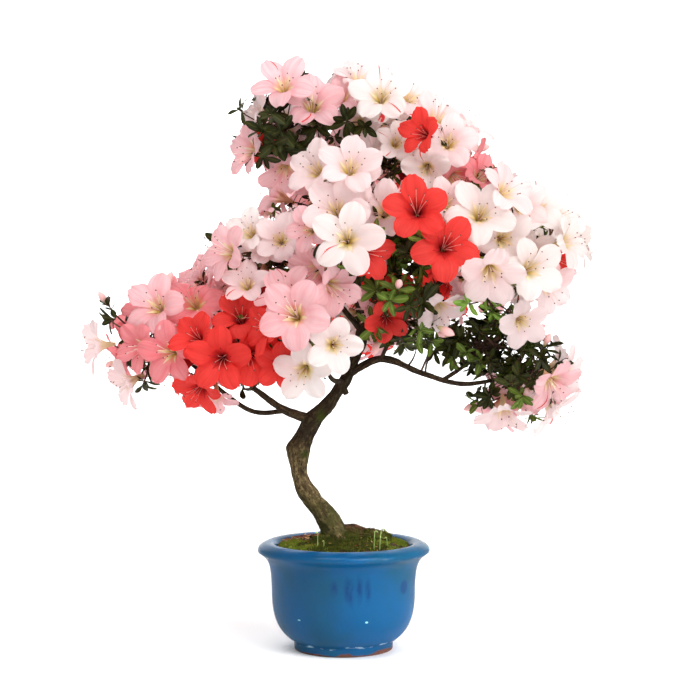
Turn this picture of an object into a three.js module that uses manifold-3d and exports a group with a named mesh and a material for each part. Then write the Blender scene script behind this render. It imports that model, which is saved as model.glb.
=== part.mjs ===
// Azalea bonsai in full bloom, standing in a round glazed pot.
// Millimetres, +Z up. The origin is the middle of the pot's flat underside, and -Y is the tree's front.
import * as THREE from 'three';
import { mergeVertices } from 'three/addons/utils/BufferGeometryUtils.js';
import Module from 'manifold-3d';

const wasm = await Module();
wasm.setup();

// Driving dimensions

const GAP = 0.3; // clearance where one piece meets the next

const POT = {
  height: 107,
  rimRadius: 86.4,
  rimHeight: 100, // height of the lip's widest line
  crestRadius: 77,
  mouthRadius: 68,
  bellyRadius: 71.7,
  bellyHeight: 60,
  footRadius: 49.5,
  footHeight: 8.5,
  footFlare: 15, // how far the wall leans out just above the foot
  neck: [86, 90], // heights that the wall leans towards between belly and lip
  neckFlare: [1, 2.8],
  lipEdge: [0.8, 2.5], // how far the lip's lower edge is in from its widest line, and below it
  lipBulge: [1.5, 3],
  bevel: 1.5,
  lipDrop: 5, // depth of the lip's inner edge
  wall: 9,
  floor: 10,
  hollow: [40, 80], // heights between which the inside wall stands upright
  segments: 32,
  curveSteps: 3,
};

const SOIL = {
  top: 106.5, // level of the moss round the trunk
  plateauRadius: 57,
  edge: 103.5, // level of the moss along the rim
  inset: 0.75, // keeps the soil's flat facets clear of the pot's
  curveSteps: 2,
};

const TRUNK = {
  ground: SOIL.top + GAP,
  sides: 8,
  rings: 19,
  // Each station is a turn of the trunk: its place and its radius there.
  stations: [
    { at: [-5, 4, 100], radius: 14 }, // below the cut, so that the cut is full width
    { at: [-15, 4, 128], radius: 10.5 },
    { at: [-31, 3, 148], radius: 9.2 },
    { at: [-44, 0, 174], radius: 8.2 },
    { at: [-44, 0, 200], radius: 9.8 },
    { at: [-34, -2, 222], radius: 8.8 },
    { at: [-12, -4, 249], radius: 7 },
    { at: [8, 0, 282], radius: 5.6 },
    { at: [18, 8, 325], radius: 4.8 },
    { at: [6, 10, 395], radius: 3.6 },
    { at: [4, 6, 468], radius: 2.4 },
  ],
};

// Surface roots: heading in degrees from the front, length along the ground, and thickness at the trunk.
const ROOTS = [
  { heading: 95, length: 52, radius: 9.5 },
  { heading: 200, length: 34, radius: 7 },
  { heading: -40, length: 30, radius: 6.5 },
];
// A root's knuckle is a share of its length out; its heights above the ground are shares of its thickness.
const ROOT = { startLift: 1, knuckle: 0.6, knuckleLift: 0.8, tipDrop: 0.2, taper: 0.35, sides: 6, rings: 3 };

// A bough leaves its parent at a share of the parent's length, passes its bends and ends where its mass
// begins.
const BOUGHS = {
  left_low: { from: 'trunk', at: 0.36, bends: [[-60, -6, 240]], end: [-90, -18, 262], radii: [5.6, 3] },
  far_left: { from: 'left_low', at: 0.4, bends: [[-92, 0, 238]], end: [-158, -6, 290], radii: [3, 2] },
  right_long: {
    from: 'trunk',
    at: 0.505,
    bends: [[39, -2, 290], [78, -3, 276], [118, -5, 265]],
    end: [160, -8, 271],
    radii: [4.6, 2],
  },
  right_mid: {
    from: 'right_long', at: 0.62, bends: [[118, -2, 281]], end: [128, 0, 291], radii: [2.4, 1.8],
  },
  right_upper: { from: 'trunk', at: 0.6, bends: [[70, 4, 348]], end: [138, 0, 394], radii: [3.8, 2.2] },
  right_front: {
    from: 'right_upper', at: 0.3, bends: [[80, -12, 344]], end: [118, -28, 350], radii: [2.6, 1.8],
  },
  left_mid: { from: 'trunk', at: 0.62, bends: [[-20, 0, 362]], end: [-52, -10, 384], radii: [3.2, 2] },
  top_left: { from: 'trunk', at: 0.86, bends: [[-18, 0, 470]], end: [-44, -8, 500], radii: [2.6, 1.8] },
  front_low: { from: 'trunk', at: 0.48, bends: [[-12, -34, 272]], end: [-22, -58, 298], radii: [3, 1.9] },
  front_centre: { from: 'trunk', at: 0.66, bends: [[14, -20, 372]], end: [8, -46, 402], radii: [3, 1.9] },
  centre_red: { from: 'trunk', at: 0.7, bends: [[40, -12, 385]], end: [64, -38, 404], radii: [2.6, 1.8] },
  centre_low: {
    from: 'right_long', at: 0.22, bends: [[44, -14, 306]], end: [48, -26, 326], radii: [2.4, 1.8],
  },
  upper_front: { from: 'trunk', at: 0.8, bends: [[4, -14, 430]], end: [-2, -30, 446], radii: [2.6, 1.8] },
  right_high: {
    from: 'trunk', at: 0.76, bends: [[62, -6, 412]], end: [104, -26, 428], radii: [2.8, 1.8],
  },
  top_right: { from: 'trunk', at: 0.84, bends: [[36, 2, 465]], end: [68, -4, 488], radii: [2.6, 1.8] },
  back_left: { from: 'trunk', at: 0.58, bends: [[-40, 40, 322]], end: [-82, 62, 342], radii: [3.2, 2] },
  back_low: { from: 'trunk', at: 0.54, bends: [[22, 44, 305]], end: [22, 68, 322], radii: [2.8, 1.9] },
  back_right: { from: 'trunk', at: 0.68, bends: [[60, 40, 372]], end: [102, 62, 392], radii: [3, 2] },
  back_upper: {
    from: 'trunk', at: 0.74, bends: [[-24, 34, 418]], end: [-50, 54, 440], radii: [2.6, 1.8],
  },
  back_top: { from: 'trunk', at: 0.79, bends: [[22, 30, 455]], end: [34, 52, 478], radii: [2.4, 1.8] },
};
const BOUGH = { sides: 5, step: 24 }; // step is the length of one stretch

// A mass of foliage and blossom: its middle, its reach each way, the way that its middle blossom looks
// (degrees round from the front, degrees up, and the turn of its spiral), how many blossoms and leafy tips it
// has, and its main colour. It grows on the bough of its own name, or on the limb that "on" gives.
const MASSES = {
  front_centre: {
    at: [8, -82, 396], reach: [54, 56, 50], looks: [-3, 4, 20], blooms: 8, tufts: 1, tint: 'pale',
  },
  centre_red: {
    at: [78, -72, 414], reach: [46, 50, 46], looks: [-12, 18, 165], blooms: 6, tufts: 1, tint: 'red',
  },
  upper_front: {
    at: [10, -58, 463], reach: [54, 52, 44], looks: [-6, 8, 250], blooms: 6, tufts: 0, tint: 'pale',
  },
  front_low: {
    at: [-36, -88, 320], reach: [50, 52, 52], looks: [-12, 4, 190], blooms: 7, tufts: 1, tint: 'pink',
  },
  left_low: {
    at: [-122, -46, 300], reach: [56, 54, 52], looks: [-8, 0, 30], blooms: 8, tufts: 2, tint: 'red',
  },
  far_left: {
    at: [-192, -8, 312], reach: [66, 54, 56], looks: [-20, 0, 24], blooms: 7, tufts: 2, tint: 'pink',
  },
  left_mid: {
    at: [-82, -26, 390], reach: [56, 56, 44], looks: [-25, 15, 100], blooms: 7, tufts: 2, tint: 'pale',
  },
  top_left: {
    at: [-66, -14, 526], reach: [50, 54, 60], looks: [-30, 50, 56], blooms: 6, tufts: 3, tint: 'pink',
  },
  top: {
    on: 'trunk', at: [20, -8, 534], reach: [58, 58, 54], looks: [-5, 42, 80],
    blooms: 7, tufts: 3, tint: 'pale',
  },
  top_right: {
    at: [92, -20, 496], reach: [54, 56, 50], looks: [12, 25, 0], blooms: 7, tufts: 1, tint: 'pale',
  },
  right_high: {
    at: [138, -48, 438], reach: [48, 52, 46], looks: [8, 10, 60], blooms: 6, tufts: 1, tint: 'white',
  },
  right_upper: {
    at: [194, -6, 406], reach: [60, 58, 62], looks: [30, 5, 200], blooms: 7, tufts: 2, tint: 'white',
  },
  right_front: {
    at: [150, -52, 362], reach: [50, 52, 46], looks: [0, -5, 250], blooms: 6, tufts: 1, tint: 'pale',
  },
  centre_low: {
    at: [54, -54, 342], reach: [44, 44, 40], looks: [0, 0, 300], blooms: 4, tufts: 3, tint: 'red',
  },
  right_mid: {
    at: [146, 4, 306], reach: [54, 50, 36], looks: [20, -10, 20], blooms: 3, tufts: 4, tint: 'leaf',
  },
  right_tip: {
    on: 'right_long', at: [180, -10, 268], reach: [54, 50, 52], looks: [15, -20, 60],
    blooms: 6, tufts: 3, tint: 'pale',
  },
  back_left: {
    at: [-122, 72, 344], reach: [64, 60, 56], looks: [-145, 10, 70], blooms: 7, tufts: 2, tint: 'pink',
  },
  back_low: {
    at: [22, 98, 338], reach: [58, 56, 50], looks: [180, -5, 100], blooms: 6, tufts: 2, tint: 'pink',
  },
  back_right: {
    at: [138, 80, 394], reach: [64, 60, 58], looks: [145, 10, 130], blooms: 7, tufts: 2, tint: 'pale',
  },
  back_upper: {
    at: [-26, 86, 444], reach: [58, 56, 54], looks: [-165, 20, 160], blooms: 7, tufts: 2, tint: 'pink',
  },
  back_top: {
    at: [52, 76, 498], reach: [58, 54, 52], looks: [165, 30, 190], blooms: 7, tufts: 2, tint: 'pale',
  },
};

const TWIG = {
  stem: 2.6, // radii of the stem, its forks and their stalks
  fork: 2,
  stalk: 1.4,
  swell: 3, // length over which a twig swells from its point
  sink: 0.8, // depth of that point in the parent
  widest: 0.35, // share of a stalk's length where it is thickest
};

// How a mass branches: shares are of the reach, of the stem or of a fork; spreads and turns are in degrees.
const GROWTH = {
  hubShare: -0.1, // the stem ends a little behind the middle
  forks: 3,
  forkSpread: 100,
  forkTurn: 57.3,
  forkShare: 0.36,
  forkFoot: [0.92, -0.13], // share of the stem where the first fork leaves, and the step to the next
  tipFoot: [0.12, 0.16], // share back from a fork's end where its first stalk leaves, and the next step
  crowding: 9, // how much further off a fork counts for each stalk that it bears
};

const BLOSSOM = {
  radius: 30, // from the axis to a petal's outer edge
  notch: 13, // from the axis to the notch between two petals
  notchDrop: 3,
  petalLift: 1.5,
  petalCorners: [13, 59], // degrees from one notch to the corners of the petal's edge
  tube: 29, // from the petals back to the flower stalk
  throat: 14, // depth of the funnel inside
  petals: 5,
  socket: [4, 0, 11], // where the stalk ends inside the funnel's wall
  socketTurn: 36,
  spacing: 42, // a blossom is left out if its middle comes nearer than this to an earlier one
  spread: 105, // degrees from a mass's middle blossom to its outermost ones
  shares: [0.9, 1],
  sizes: [0.88, 1.12],
  facing: 0.35, // how much a blossom turns from its own place towards the mass's middle blossom
  shrinks: [1, 0.88, 0.76], // sizes that are tried where room is tight
};

const LEAF = {
  length: 30,
  width: 12,
  thick: 1.3,
  widest: 0.55, // share of the length where the blade is widest
  sink: 1,
  perTuft: 4,
  first: 0.6, // places down the stalk, in pitches
  pitch: 7,
  lean: 52, // degrees from the stalk to the first leaf, and the step to the next
  leanStep: 4,
  spread: 112,
  turn: 114.6,
  frontPlaces: 2, // places in the middle of the mass that blossoms take
  shares: [0.8, 0.96],
  sizes: [0.85, 1.15],
};

// Added to a mass's number, so that the chances of each kind differ.
const SALT = { place: 0, roll: 30, size: 50, tuftSize: 70, tuftPlace: 90 };
const GOLDEN_ANGLE = Math.PI * (3 - Math.sqrt(5));

const LOOKS = {
  glaze: { color: '#2f6fae', roughness: 0.25 },
  moss: { color: '#4c5a1e', roughness: 0.95 },
  bark: { color: '#4a3f2e', roughness: 0.9 },
  red: { color: '#de302a', roughness: 0.6 },
  pink: { color: '#f5a9b0', roughness: 0.6 },
  pale: { color: '#fbd9da', roughness: 0.6 },
  white: { color: '#fdf3ee', roughness: 0.6 },
  leaf: { color: '#41531f', roughness: 0.55 },
};

// Small tools

const vec = (p) => new THREE.Vector3(...p);
const degrees = THREE.MathUtils.degToRad;

// A number from 0 to 1 that is always the same for the same two whole numbers.
function chance(index, salt) {
  const wave = Math.sin(index * 12.9898 + salt * 78.233) * 43758.5453;
  return wave - Math.floor(wave);
}

const between = ([low, high], share) => THREE.MathUtils.lerp(low, high, share);

// The way that a heading (degrees round from the front) and a rise (degrees up) point.
function pointing(heading, rise) {
  const flat = Math.cos(degrees(rise));
  const turn = degrees(heading);
  return new THREE.Vector3(Math.sin(turn) * flat, -Math.cos(turn) * flat, Math.sin(degrees(rise)));
}

function toSolid(geometry) {
  geometry.deleteAttribute('normal');
  geometry.deleteAttribute('uv');
  const merged = mergeVertices(geometry, 1e-4);
  const vertProperties = new Float32Array(merged.attributes.position.array);
  const triVerts = new Uint32Array(merged.index.array);
  return new wasm.Manifold(new wasm.Mesh({ numProp: 3, vertProperties, triVerts }));
}

function toGeometry(solid) {
  const { vertProperties, triVerts } = solid.getMesh();
  const geometry = new THREE.BufferGeometry();
  geometry.setAttribute('position', new THREE.BufferAttribute(new Float32Array(vertProperties), 3));
  geometry.setIndex(new THREE.BufferAttribute(new Uint32Array(triVerts), 1));
  geometry.computeVertexNormals();
  return geometry;
}

// The largest closed body of a joined solid: loose scraps and sealed hollows are dropped.
function mainBody(solid) {
  return solid.decompose().reduce((best, body) => (body.volume() > best.volume() ? body : best));
}

const touches = (a, b) => !a.intersect(b).isEmpty();

// Turns a shape made along +Z so that +Z points along a direction, and moves its origin to a place.
function aim(geometry, place, direction, roll = 0) {
  const turn = new THREE.Quaternion().setFromUnitVectors(new THREE.Vector3(0, 0, 1), direction);
  geometry.rotateZ(roll).applyQuaternion(turn);
  return geometry.translate(place.x, place.y, place.z);
}

// Pot and soil

function lathe(path, steps) {
  return new THREE.LatheGeometry(path.getPoints(steps), POT.segments).rotateX(Math.PI / 2);
}

function makePot() {
  const { height, rimRadius, rimHeight, crestRadius, mouthRadius, bellyRadius, bellyHeight } = POT;
  const { footRadius, footHeight, footFlare, neck, neckFlare, lipEdge, lipBulge } = POT;
  const { bevel, lipDrop, wall, floor, hollow } = POT;
  const inside = bellyRadius - wall;
  const [edgeRadius, edgeHeight] = [rimRadius - lipEdge[0], rimHeight - lipEdge[1]];
  const [low, high] = neckFlare.map((flare) => bellyRadius + flare);
  const outline = new THREE.Path()
    .moveTo(0, 0)
    .lineTo(footRadius - bevel, 0)
    .lineTo(footRadius, bevel)
    .lineTo(footRadius, footHeight)
    .bezierCurveTo(
      footRadius + footFlare,
      footHeight * 2,
      bellyRadius,
      bellyHeight / 2,
      bellyRadius,
      bellyHeight,
    )
    .bezierCurveTo(low, neck[0], high, neck[1], edgeRadius, edgeHeight)
    .quadraticCurveTo(rimRadius + lipBulge[0], rimHeight + lipBulge[1], crestRadius, height)
    .lineTo(mouthRadius, height - bevel)
    .lineTo(mouthRadius - bevel, height - lipDrop)
    .bezierCurveTo(inside, hollow[1], inside, hollow[0], footRadius - wall / 4, floor)
    .lineTo(0, floor);
  return lathe(outline, POT.curveSteps);
}

function makeSoil() {
  const { floor, footRadius, bellyRadius, wall, hollow, mouthRadius, height, bevel, lipDrop } = POT;
  const { top, plateauRadius, edge, inset } = SOIL;
  const inside = bellyRadius - wall - inset;
  const edgeRadius = mouthRadius - bevel - inset;
  const outline = new THREE.Path()
    .moveTo(0, floor + GAP)
    .lineTo(footRadius - wall / 4 - inset, floor + GAP)
    .bezierCurveTo(inside, hollow[0], inside, hollow[1], edgeRadius, height - lipDrop)
    .lineTo(edgeRadius, edge)
    .quadraticCurveTo((plateauRadius + edgeRadius) / 2, top, plateauRadius, top)
    .lineTo(0, top);
  return lathe(outline, SOIL.curveSteps);
}

// Trunk, roots and boughs

// A tapering limb along a curve: a closed cylinder whose rings are set on the curve at the radius there.
function limb(curve, radiusAt, sides, rings) {
  const geometry = new THREE.CylinderGeometry(1, 1, 1, sides, rings);
  const { normals, binormals } = curve.computeFrenetFrames(rings);
  const position = geometry.attributes.position;
  for (let i = 0; i < position.count; i++) {
    const along = position.getY(i) + 0.5;
    const ring = Math.round(along * rings);
    const place = curve.getPointAt(along);
    const radius = radiusAt(along);
    place.addScaledVector(normals[ring], position.getX(i) * radius);
    place.addScaledVector(binormals[ring], -position.getZ(i) * radius);
    position.setXYZ(i, place.x, place.y, place.z);
  }
  return toSolid(geometry);
}

const smoothCurve = (places) => new THREE.CatmullRomCurve3(places, false, 'centripetal');

function trunkLimb() {
  const curve = smoothCurve(TRUNK.stations.map((station) => vec(station.at)));
  const last = TRUNK.stations.length - 1;
  const radiusAt = (along) => {
    const station = curve.getUtoTmapping(along) * last;
    const below = Math.min(Math.floor(station), last - 1);
    const [a, b] = [TRUNK.stations[below].radius, TRUNK.stations[below + 1].radius];
    return THREE.MathUtils.lerp(a, b, station - below);
  };
  const grown = (extra) => limb(curve, (along) => radiusAt(along) + extra, TRUNK.sides, TRUNK.rings);
  return { curve, grown };
}

function makeRoot({ heading, length, radius }, foot) {
  const along = pointing(heading, 0);
  const place = (share, lift) => {
    return foot.clone().addScaledVector(along, length * share).setZ(TRUNK.ground + radius * lift);
  };
  const places = [place(0, ROOT.startLift), place(ROOT.knuckle, ROOT.knuckleLift), place(1, -ROOT.tipDrop)];
  return limb(smoothCurve(places), (share) => radius * (1 - ROOT.taper * share), ROOT.sides, ROOT.rings);
}

// The trunk with its surface roots, cut flat at ground level.
function makeTrunk(grown) {
  const foot = vec(TRUNK.stations[0].at);
  const roots = ROOTS.map((root) => makeRoot(root, foot));
  const wide = POT.rimRadius * 2;
  const belowGround = new THREE.BoxGeometry(wide, wide, TRUNK.ground).translate(0, 0, TRUNK.ground / 2);
  return mainBody(wasm.Manifold.union([grown(0), ...roots]).subtract(toSolid(belowGround)));
}

// Grows a bough from inside its parent and cuts its foot to the parent's bark, a gap away.
function makeBough(bough, parent) {
  const places = [parent.curve.getPointAt(bough.at), ...bough.bends.map(vec), vec(bough.end)];
  const curve = smoothCurve(places);
  const rings = Math.ceil(curve.getLength() / BOUGH.step);
  const grown = (extra) => limb(curve, (along) => between(bough.radii, along) + extra, BOUGH.sides, rings);
  return { curve, grown, solid: mainBody(grown(0).subtract(parent.grown(GAP))) };
}

// Twigs, leaves and blossoms

// A three-sided twig from one place to another: it swells from a point sunk in its parent, then tapers.
function twig(from, to, thick, thin) {
  const direction = to.clone().sub(from);
  const length = direction.length() + TWIG.sink;
  const shares = [0, TWIG.swell / length, 1 - TWIG.swell / length, 1];
  const radii = [0, thick, thin, 0];
  const geometry = new THREE.SphereGeometry(1, 3, 3).rotateX(Math.PI / 2);
  const position = geometry.attributes.position;
  for (let i = 0; i < position.count; i++) {
    const ring = Math.round(3 - (3 * Math.acos(THREE.MathUtils.clamp(position.getZ(i), -1, 1))) / Math.PI);
    const round = Math.atan2(position.getY(i), position.getX(i));
    const radius = radii[ring];
    position.setXYZ(i, Math.cos(round) * radius, Math.sin(round) * radius, shares[ring] * length);
  }
  const start = from.clone().addScaledVector(direction.normalize(), -TWIG.sink);
  return toSolid(aim(geometry, start, direction));
}

// A slim stalk of six faces: thickest a little way from the point that is sunk in its parent.
function stalk(from, to, thick) {
  const direction = to.clone().sub(from);
  const length = direction.length() + TWIG.sink;
  const geometry = new THREE.SphereGeometry(1, 3, 2).rotateX(Math.PI / 2);
  const position = geometry.attributes.position;
  for (let i = 0; i < position.count; i++) {
    const along = Math.round(position.getZ(i));
    const share = along === 0 ? TWIG.widest : (along + 1) / 2;
    position.setXYZ(i, position.getX(i) * thick, position.getY(i) * thick, share * length);
  }
  const start = from.clone().addScaledVector(direction.normalize(), -TWIG.sink);
  return toSolid(aim(geometry, start, direction));
}

// A keeled leaf of six faces: two poles joined by a flat triangle, with its stalk end sunk in the twig.
function leaf({ place, direction, roll, size }, extra) {
  const { length, width, thick, widest, sink } = LEAF;
  const geometry = new THREE.SphereGeometry(1, 3, 2).rotateX(Math.PI / 2);
  const position = geometry.attributes.position;
  const stretch = size * (1 + (2 * extra) / length);
  for (let i = 0; i < position.count; i++) {
    const along = Math.round(position.getZ(i));
    const share = along === 0 ? widest : (along + 1) / 2;
    position.setXYZ(
      i,
      position.getY(i) * (width / Math.sqrt(3)) * stretch,
      -position.getX(i) * (thick + extra),
      (share * length - sink) * stretch,
    );
  }
  return toSolid(aim(geometry, place, direction, roll));
}

// A five-lobed funnel: the rim of a flattened sphere carries the petals' outline, one pole is the throat and
// the other is the end of the flower stalk.
function blossom({ place, direction, roll, size }, extra) {
  const { radius, notch, notchDrop, petalLift, petalCorners, tube, throat, petals } = BLOSSOM;
  const perPetal = [
    { turn: 0, out: notch, rise: -notchDrop },
    ...petalCorners.map((turn) => ({ turn, out: radius, rise: petalLift })),
  ];
  const rimCount = petals * perPetal.length;
  const geometry = new THREE.SphereGeometry(1, rimCount, 2).rotateX(Math.PI / 2);
  const position = geometry.attributes.position;
  for (let i = 0; i < position.count; i++) {
    const pole = Math.round(position.getZ(i));
    if (pole !== 0) {
      position.setXYZ(i, 0, 0, pole > 0 ? (tube - throat) * size + extra : -extra);
      continue;
    }
    const corner = (i % (rimCount + 1)) % rimCount;
    const { turn, out, rise } = perPetal[corner % perPetal.length];
    const angle = degrees((Math.floor(corner / perPetal.length) * 360) / petals + turn);
    const reach = out * size + extra;
    position.setXYZ(i, Math.cos(angle) * reach, Math.sin(angle) * reach, (tube + rise) * size);
  }
  return toSolid(aim(geometry, place, direction, roll));
}

// Turns a direction given about +Z so that +Z becomes another direction.
function about(direction, middle) {
  const turn = new THREE.Quaternion().setFromUnitVectors(new THREE.Vector3(0, 0, 1), middle);
  return direction.applyQuaternion(turn);
}

// Directions spread evenly over a cap, from its middle outwards, by the golden angle.
function capDirections(middle, count, spread, twist) {
  return Array.from({ length: count }, (_, k) => {
    const tilt = degrees(spread) * Math.sqrt(k / Math.max(count - 1, 1));
    const round = k * GOLDEN_ANGLE + twist;
    const direction = new THREE.Vector3().setFromSphericalCoords(1, tilt, round);
    return about(new THREE.Vector3(direction.z, direction.x, direction.y), middle);
  });
}

// Plans one mass: a stem to its hub, forks off the stem, and the blossoms and tufts that the forks bear.
function planMass(mass, number, stemStart) {
  const middle = vec(mass.at);
  const reach = vec(mass.reach);
  const looks = pointing(mass.looks[0], mass.looks[1]);
  const twist = degrees(mass.looks[2]);
  const shell = (direction, share) => direction.clone().multiply(reach).multiplyScalar(share).add(middle);
  const hub = shell(looks, GROWTH.hubShare);
  const [foot, footStep] = GROWTH.forkFoot;
  const forkTurn = twist + degrees(GROWTH.forkTurn);
  const forks = capDirections(looks, GROWTH.forks, GROWTH.forkSpread, forkTurn).map((direction, k) => ({
    from: stemStart.clone().lerp(hub, foot + footStep * k),
    to: shell(direction, GROWTH.forkShare),
    used: 0,
  }));
  const blooms = capDirections(looks, mass.blooms, BLOSSOM.spread, twist).map((direction, k) => {
    const size = between(BLOSSOM.sizes, chance(k, number + SALT.size));
    const facing = direction.clone().addScaledVector(looks, BLOSSOM.facing).normalize();
    const heart = shell(direction, between(BLOSSOM.shares, chance(k, number + SALT.place)));
    const roll = chance(k, number + SALT.roll) * 2 * Math.PI;
    return { heart, direction: facing, roll, size };
  });
  const tuftTurn = twist + degrees(LEAF.turn);
  const tuftWays = capDirections(looks, mass.tufts + LEAF.frontPlaces, LEAF.spread, tuftTurn);
  const tufts = tuftWays.slice(LEAF.frontPlaces).map((direction, k) => ({
    place: shell(direction, between(LEAF.shares, chance(k, number + SALT.tuftPlace))),
    size: between(LEAF.sizes, chance(k, number + SALT.tuftSize)),
  }));
  return { stemStart, hub, forks, blooms, tufts };
}

const stem = ({ stemStart, hub }, extra) => twig(stemStart, hub, TWIG.stem + extra, TWIG.fork + extra);

// The leaves of a tuft: one after another down the stalk from its end, a third of a turn apart.
function tuftLeaves(from, tip) {
  const direction = tip.place.clone().sub(from).normalize();
  return Array.from({ length: LEAF.perTuft }, (_, k) => {
    const side = new THREE.Vector3().setFromCylindricalCoords(1, k * ((2 * Math.PI) / 3), 0);
    const lean = degrees(LEAF.lean + LEAF.leanStep * k);
    const out = new THREE.Vector3(side.z * Math.sin(lean), side.x * Math.sin(lean), Math.cos(lean));
    return {
      place: tip.place.clone().addScaledVector(direction, -LEAF.pitch * (k + LEAF.first)),
      direction: about(out, direction),
      roll: 0,
      size: tip.size,
    };
  });
}

// A blossom set by its heart, the middle of its petals, with the place inside it where its stalk ends.
function setBlossom({ heart, direction, roll, size }, shrink) {
  const grown = size * shrink;
  const place = heart.clone().addScaledVector(direction, -BLOSSOM.tube * grown);
  const socket = vec(BLOSSOM.socket).multiplyScalar(grown);
  socket.applyAxisAngle(new THREE.Vector3(0, 0, 1), roll + degrees(BLOSSOM.socketTurn));
  return { place, direction, roll, size: grown, end: about(socket, direction).add(place) };
}

// Joins one mass from its plan. A piece that would touch a limb or another mass is left out.
function makeMass(plan, limbSpace, otherMasses, laidBlossoms) {
  const free = (piece) => ![limbSpace, ...otherMasses].some((other) => touches(piece, other));
  const pieces = [stem(plan, 0)];
  const forks = plan.forks.filter((fork) => {
    if (!free(twig(fork.from, fork.to, TWIG.fork + GAP, TWIG.stalk + GAP))) return false;
    pieces.push(twig(fork.from, fork.to, TWIG.fork, TWIG.stalk));
    return true;
  });
  forks.push({ from: plan.stemStart, to: plan.hub, used: 0 });
  const nearest = (place) => {
    const away = (fork) => fork.to.distanceTo(place) + GROWTH.crowding * fork.used;
    const fork = forks.reduce((best, other) => (away(other) < away(best) ? other : best));
    const [foot, footStep] = GROWTH.tipFoot;
    return { fork, from: fork.to.clone().lerp(fork.from, foot + footStep * fork.used) };
  };
  for (const bloom of plan.blooms) {
    if (laidBlossoms.some((other) => other.distanceTo(bloom.heart) < BLOSSOM.spacing)) continue;
    const { fork, from } = nearest(setBlossom(bloom, 1).place);
    const fits = (flower) => {
      return free(blossom(flower, GAP * 2)) && free(stalk(from, flower.end, TWIG.stalk + GAP));
    };
    const flower = BLOSSOM.shrinks.map((shrink) => setBlossom(bloom, shrink)).find(fits);
    if (!flower) continue;
    laidBlossoms.push(bloom.heart);
    pieces.push(blossom(flower, 0), stalk(from, flower.end, TWIG.stalk));
    fork.used += 1;
  }
  for (const tip of plan.tufts) {
    const { fork, from } = nearest(tip.place);
    if (!free(twig(from, tip.place, TWIG.stalk + GAP, TWIG.stalk + GAP))) continue;
    pieces.push(twig(from, tip.place, TWIG.stalk, TWIG.stalk));
    fork.used += 1;
    const leaves = tuftLeaves(from, tip).filter((blade) => free(leaf(blade, GAP * 2)));
    pieces.push(...leaves.map((blade) => leaf(blade, 0)));
  }
  return mainBody(wasm.Manifold.union(pieces).subtract(limbSpace));
}

// Assembly

const tree = new THREE.Group();

function addNode(name, geometry, look) {
  const mesh = new THREE.Mesh(geometry, new THREE.MeshStandardMaterial({ metalness: 0, ...LOOKS[look] }));
  mesh.name = name;
  tree.add(mesh);
}

addNode('pot', makePot(), 'glaze');
addNode('soil_and_moss', makeSoil(), 'moss');

const trunk = trunkLimb();
const limbs = { trunk: { ...trunk, solid: makeTrunk(trunk.grown) } };
addNode('trunk', toGeometry(limbs.trunk.solid), 'bark');
for (const [name, bough] of Object.entries(BOUGHS)) {
  limbs[name] = makeBough(bough, limbs[bough.from]);
  addNode(`bough_${name}`, toGeometry(limbs[name].solid), 'bark');
}

const limbSpace = wasm.Manifold.union(Object.values(limbs).map(({ grown }) => grown(GAP)));
const plans = Object.entries(MASSES).map(([name, mass], number) => {
  const { curve } = limbs[mass.on ?? name];
  return planMass(mass, number, curve.getPointAt(1).addScaledVector(curve.getTangentAt(1), GAP));
});
const stems = plans.map((plan) => stem(plan, GAP));
const made = [];
const laidBlossoms = [];
Object.entries(MASSES).forEach(([name, mass], number) => {
  const otherMasses = [...made, ...stems.slice(number + 1)];
  const solid = makeMass(plans[number], limbSpace, otherMasses, laidBlossoms);
  made.push(solid);
  addNode(`mass_${name}`, toGeometry(solid), mass.tint);
});

export default tree;
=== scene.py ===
import bpy
import numpy as np
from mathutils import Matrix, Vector


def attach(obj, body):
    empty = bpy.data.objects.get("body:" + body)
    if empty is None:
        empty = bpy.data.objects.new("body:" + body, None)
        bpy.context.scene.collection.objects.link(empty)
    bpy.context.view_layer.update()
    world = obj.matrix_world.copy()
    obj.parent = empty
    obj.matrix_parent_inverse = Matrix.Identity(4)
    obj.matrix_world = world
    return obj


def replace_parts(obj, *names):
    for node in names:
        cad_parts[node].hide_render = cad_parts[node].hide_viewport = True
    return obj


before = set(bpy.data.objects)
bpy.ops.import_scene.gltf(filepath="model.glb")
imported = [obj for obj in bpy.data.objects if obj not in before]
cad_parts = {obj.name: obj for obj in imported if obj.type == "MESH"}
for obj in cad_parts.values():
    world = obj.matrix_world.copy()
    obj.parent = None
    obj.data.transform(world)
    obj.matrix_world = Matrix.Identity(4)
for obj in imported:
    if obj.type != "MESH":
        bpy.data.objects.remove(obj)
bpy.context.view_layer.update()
print("frame loaded:", len(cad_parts), "nodes")

mm = 0.001
goldenAngle = np.pi * (3 - np.sqrt(5))
looseTurn = 6.3  # a whole turn, near enough for a seeded heading
upward = np.array([0, 0, 1])


# Number tools

def chance(index, salt):  # the same number from 0 to 1 for the same two whole numbers
    wave = np.sin(np.asarray(index) * 12.9898 + np.asarray(salt) * 78.233) * 43758.5453
    return wave - np.floor(wave)


def unit(v):
    return v / np.linalg.norm(v, axis=-1, keepdims=True)


def smooth(low, high, x):  # 0 below low, 1 above high, an S-curve between
    t = np.clip((x - low) / (high - low), 0, 1)
    return t * t * (3 - 2 * t)


def around(count):  # even angles round a whole turn
    return np.linspace(0, 2 * np.pi, count, endpoint=False)


def roundZ(turn, up=0):  # points on the unit circle round Z
    return np.stack(np.broadcast_arrays(np.cos(turn), np.sin(turn), up), -1)


def tilted(tilt, turn):  # directions tilted away from +Z
    return np.stack([np.sin(tilt) * np.cos(turn), np.sin(tilt) * np.sin(turn), np.cos(tilt)], -1)


def pointing(heading, rise):  # degrees round from the front, degrees up
    turn, lift = np.radians(heading), np.radians(rise)
    return np.array([np.sin(turn) * np.cos(lift), -np.cos(turn) * np.cos(lift), np.sin(lift)])


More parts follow.
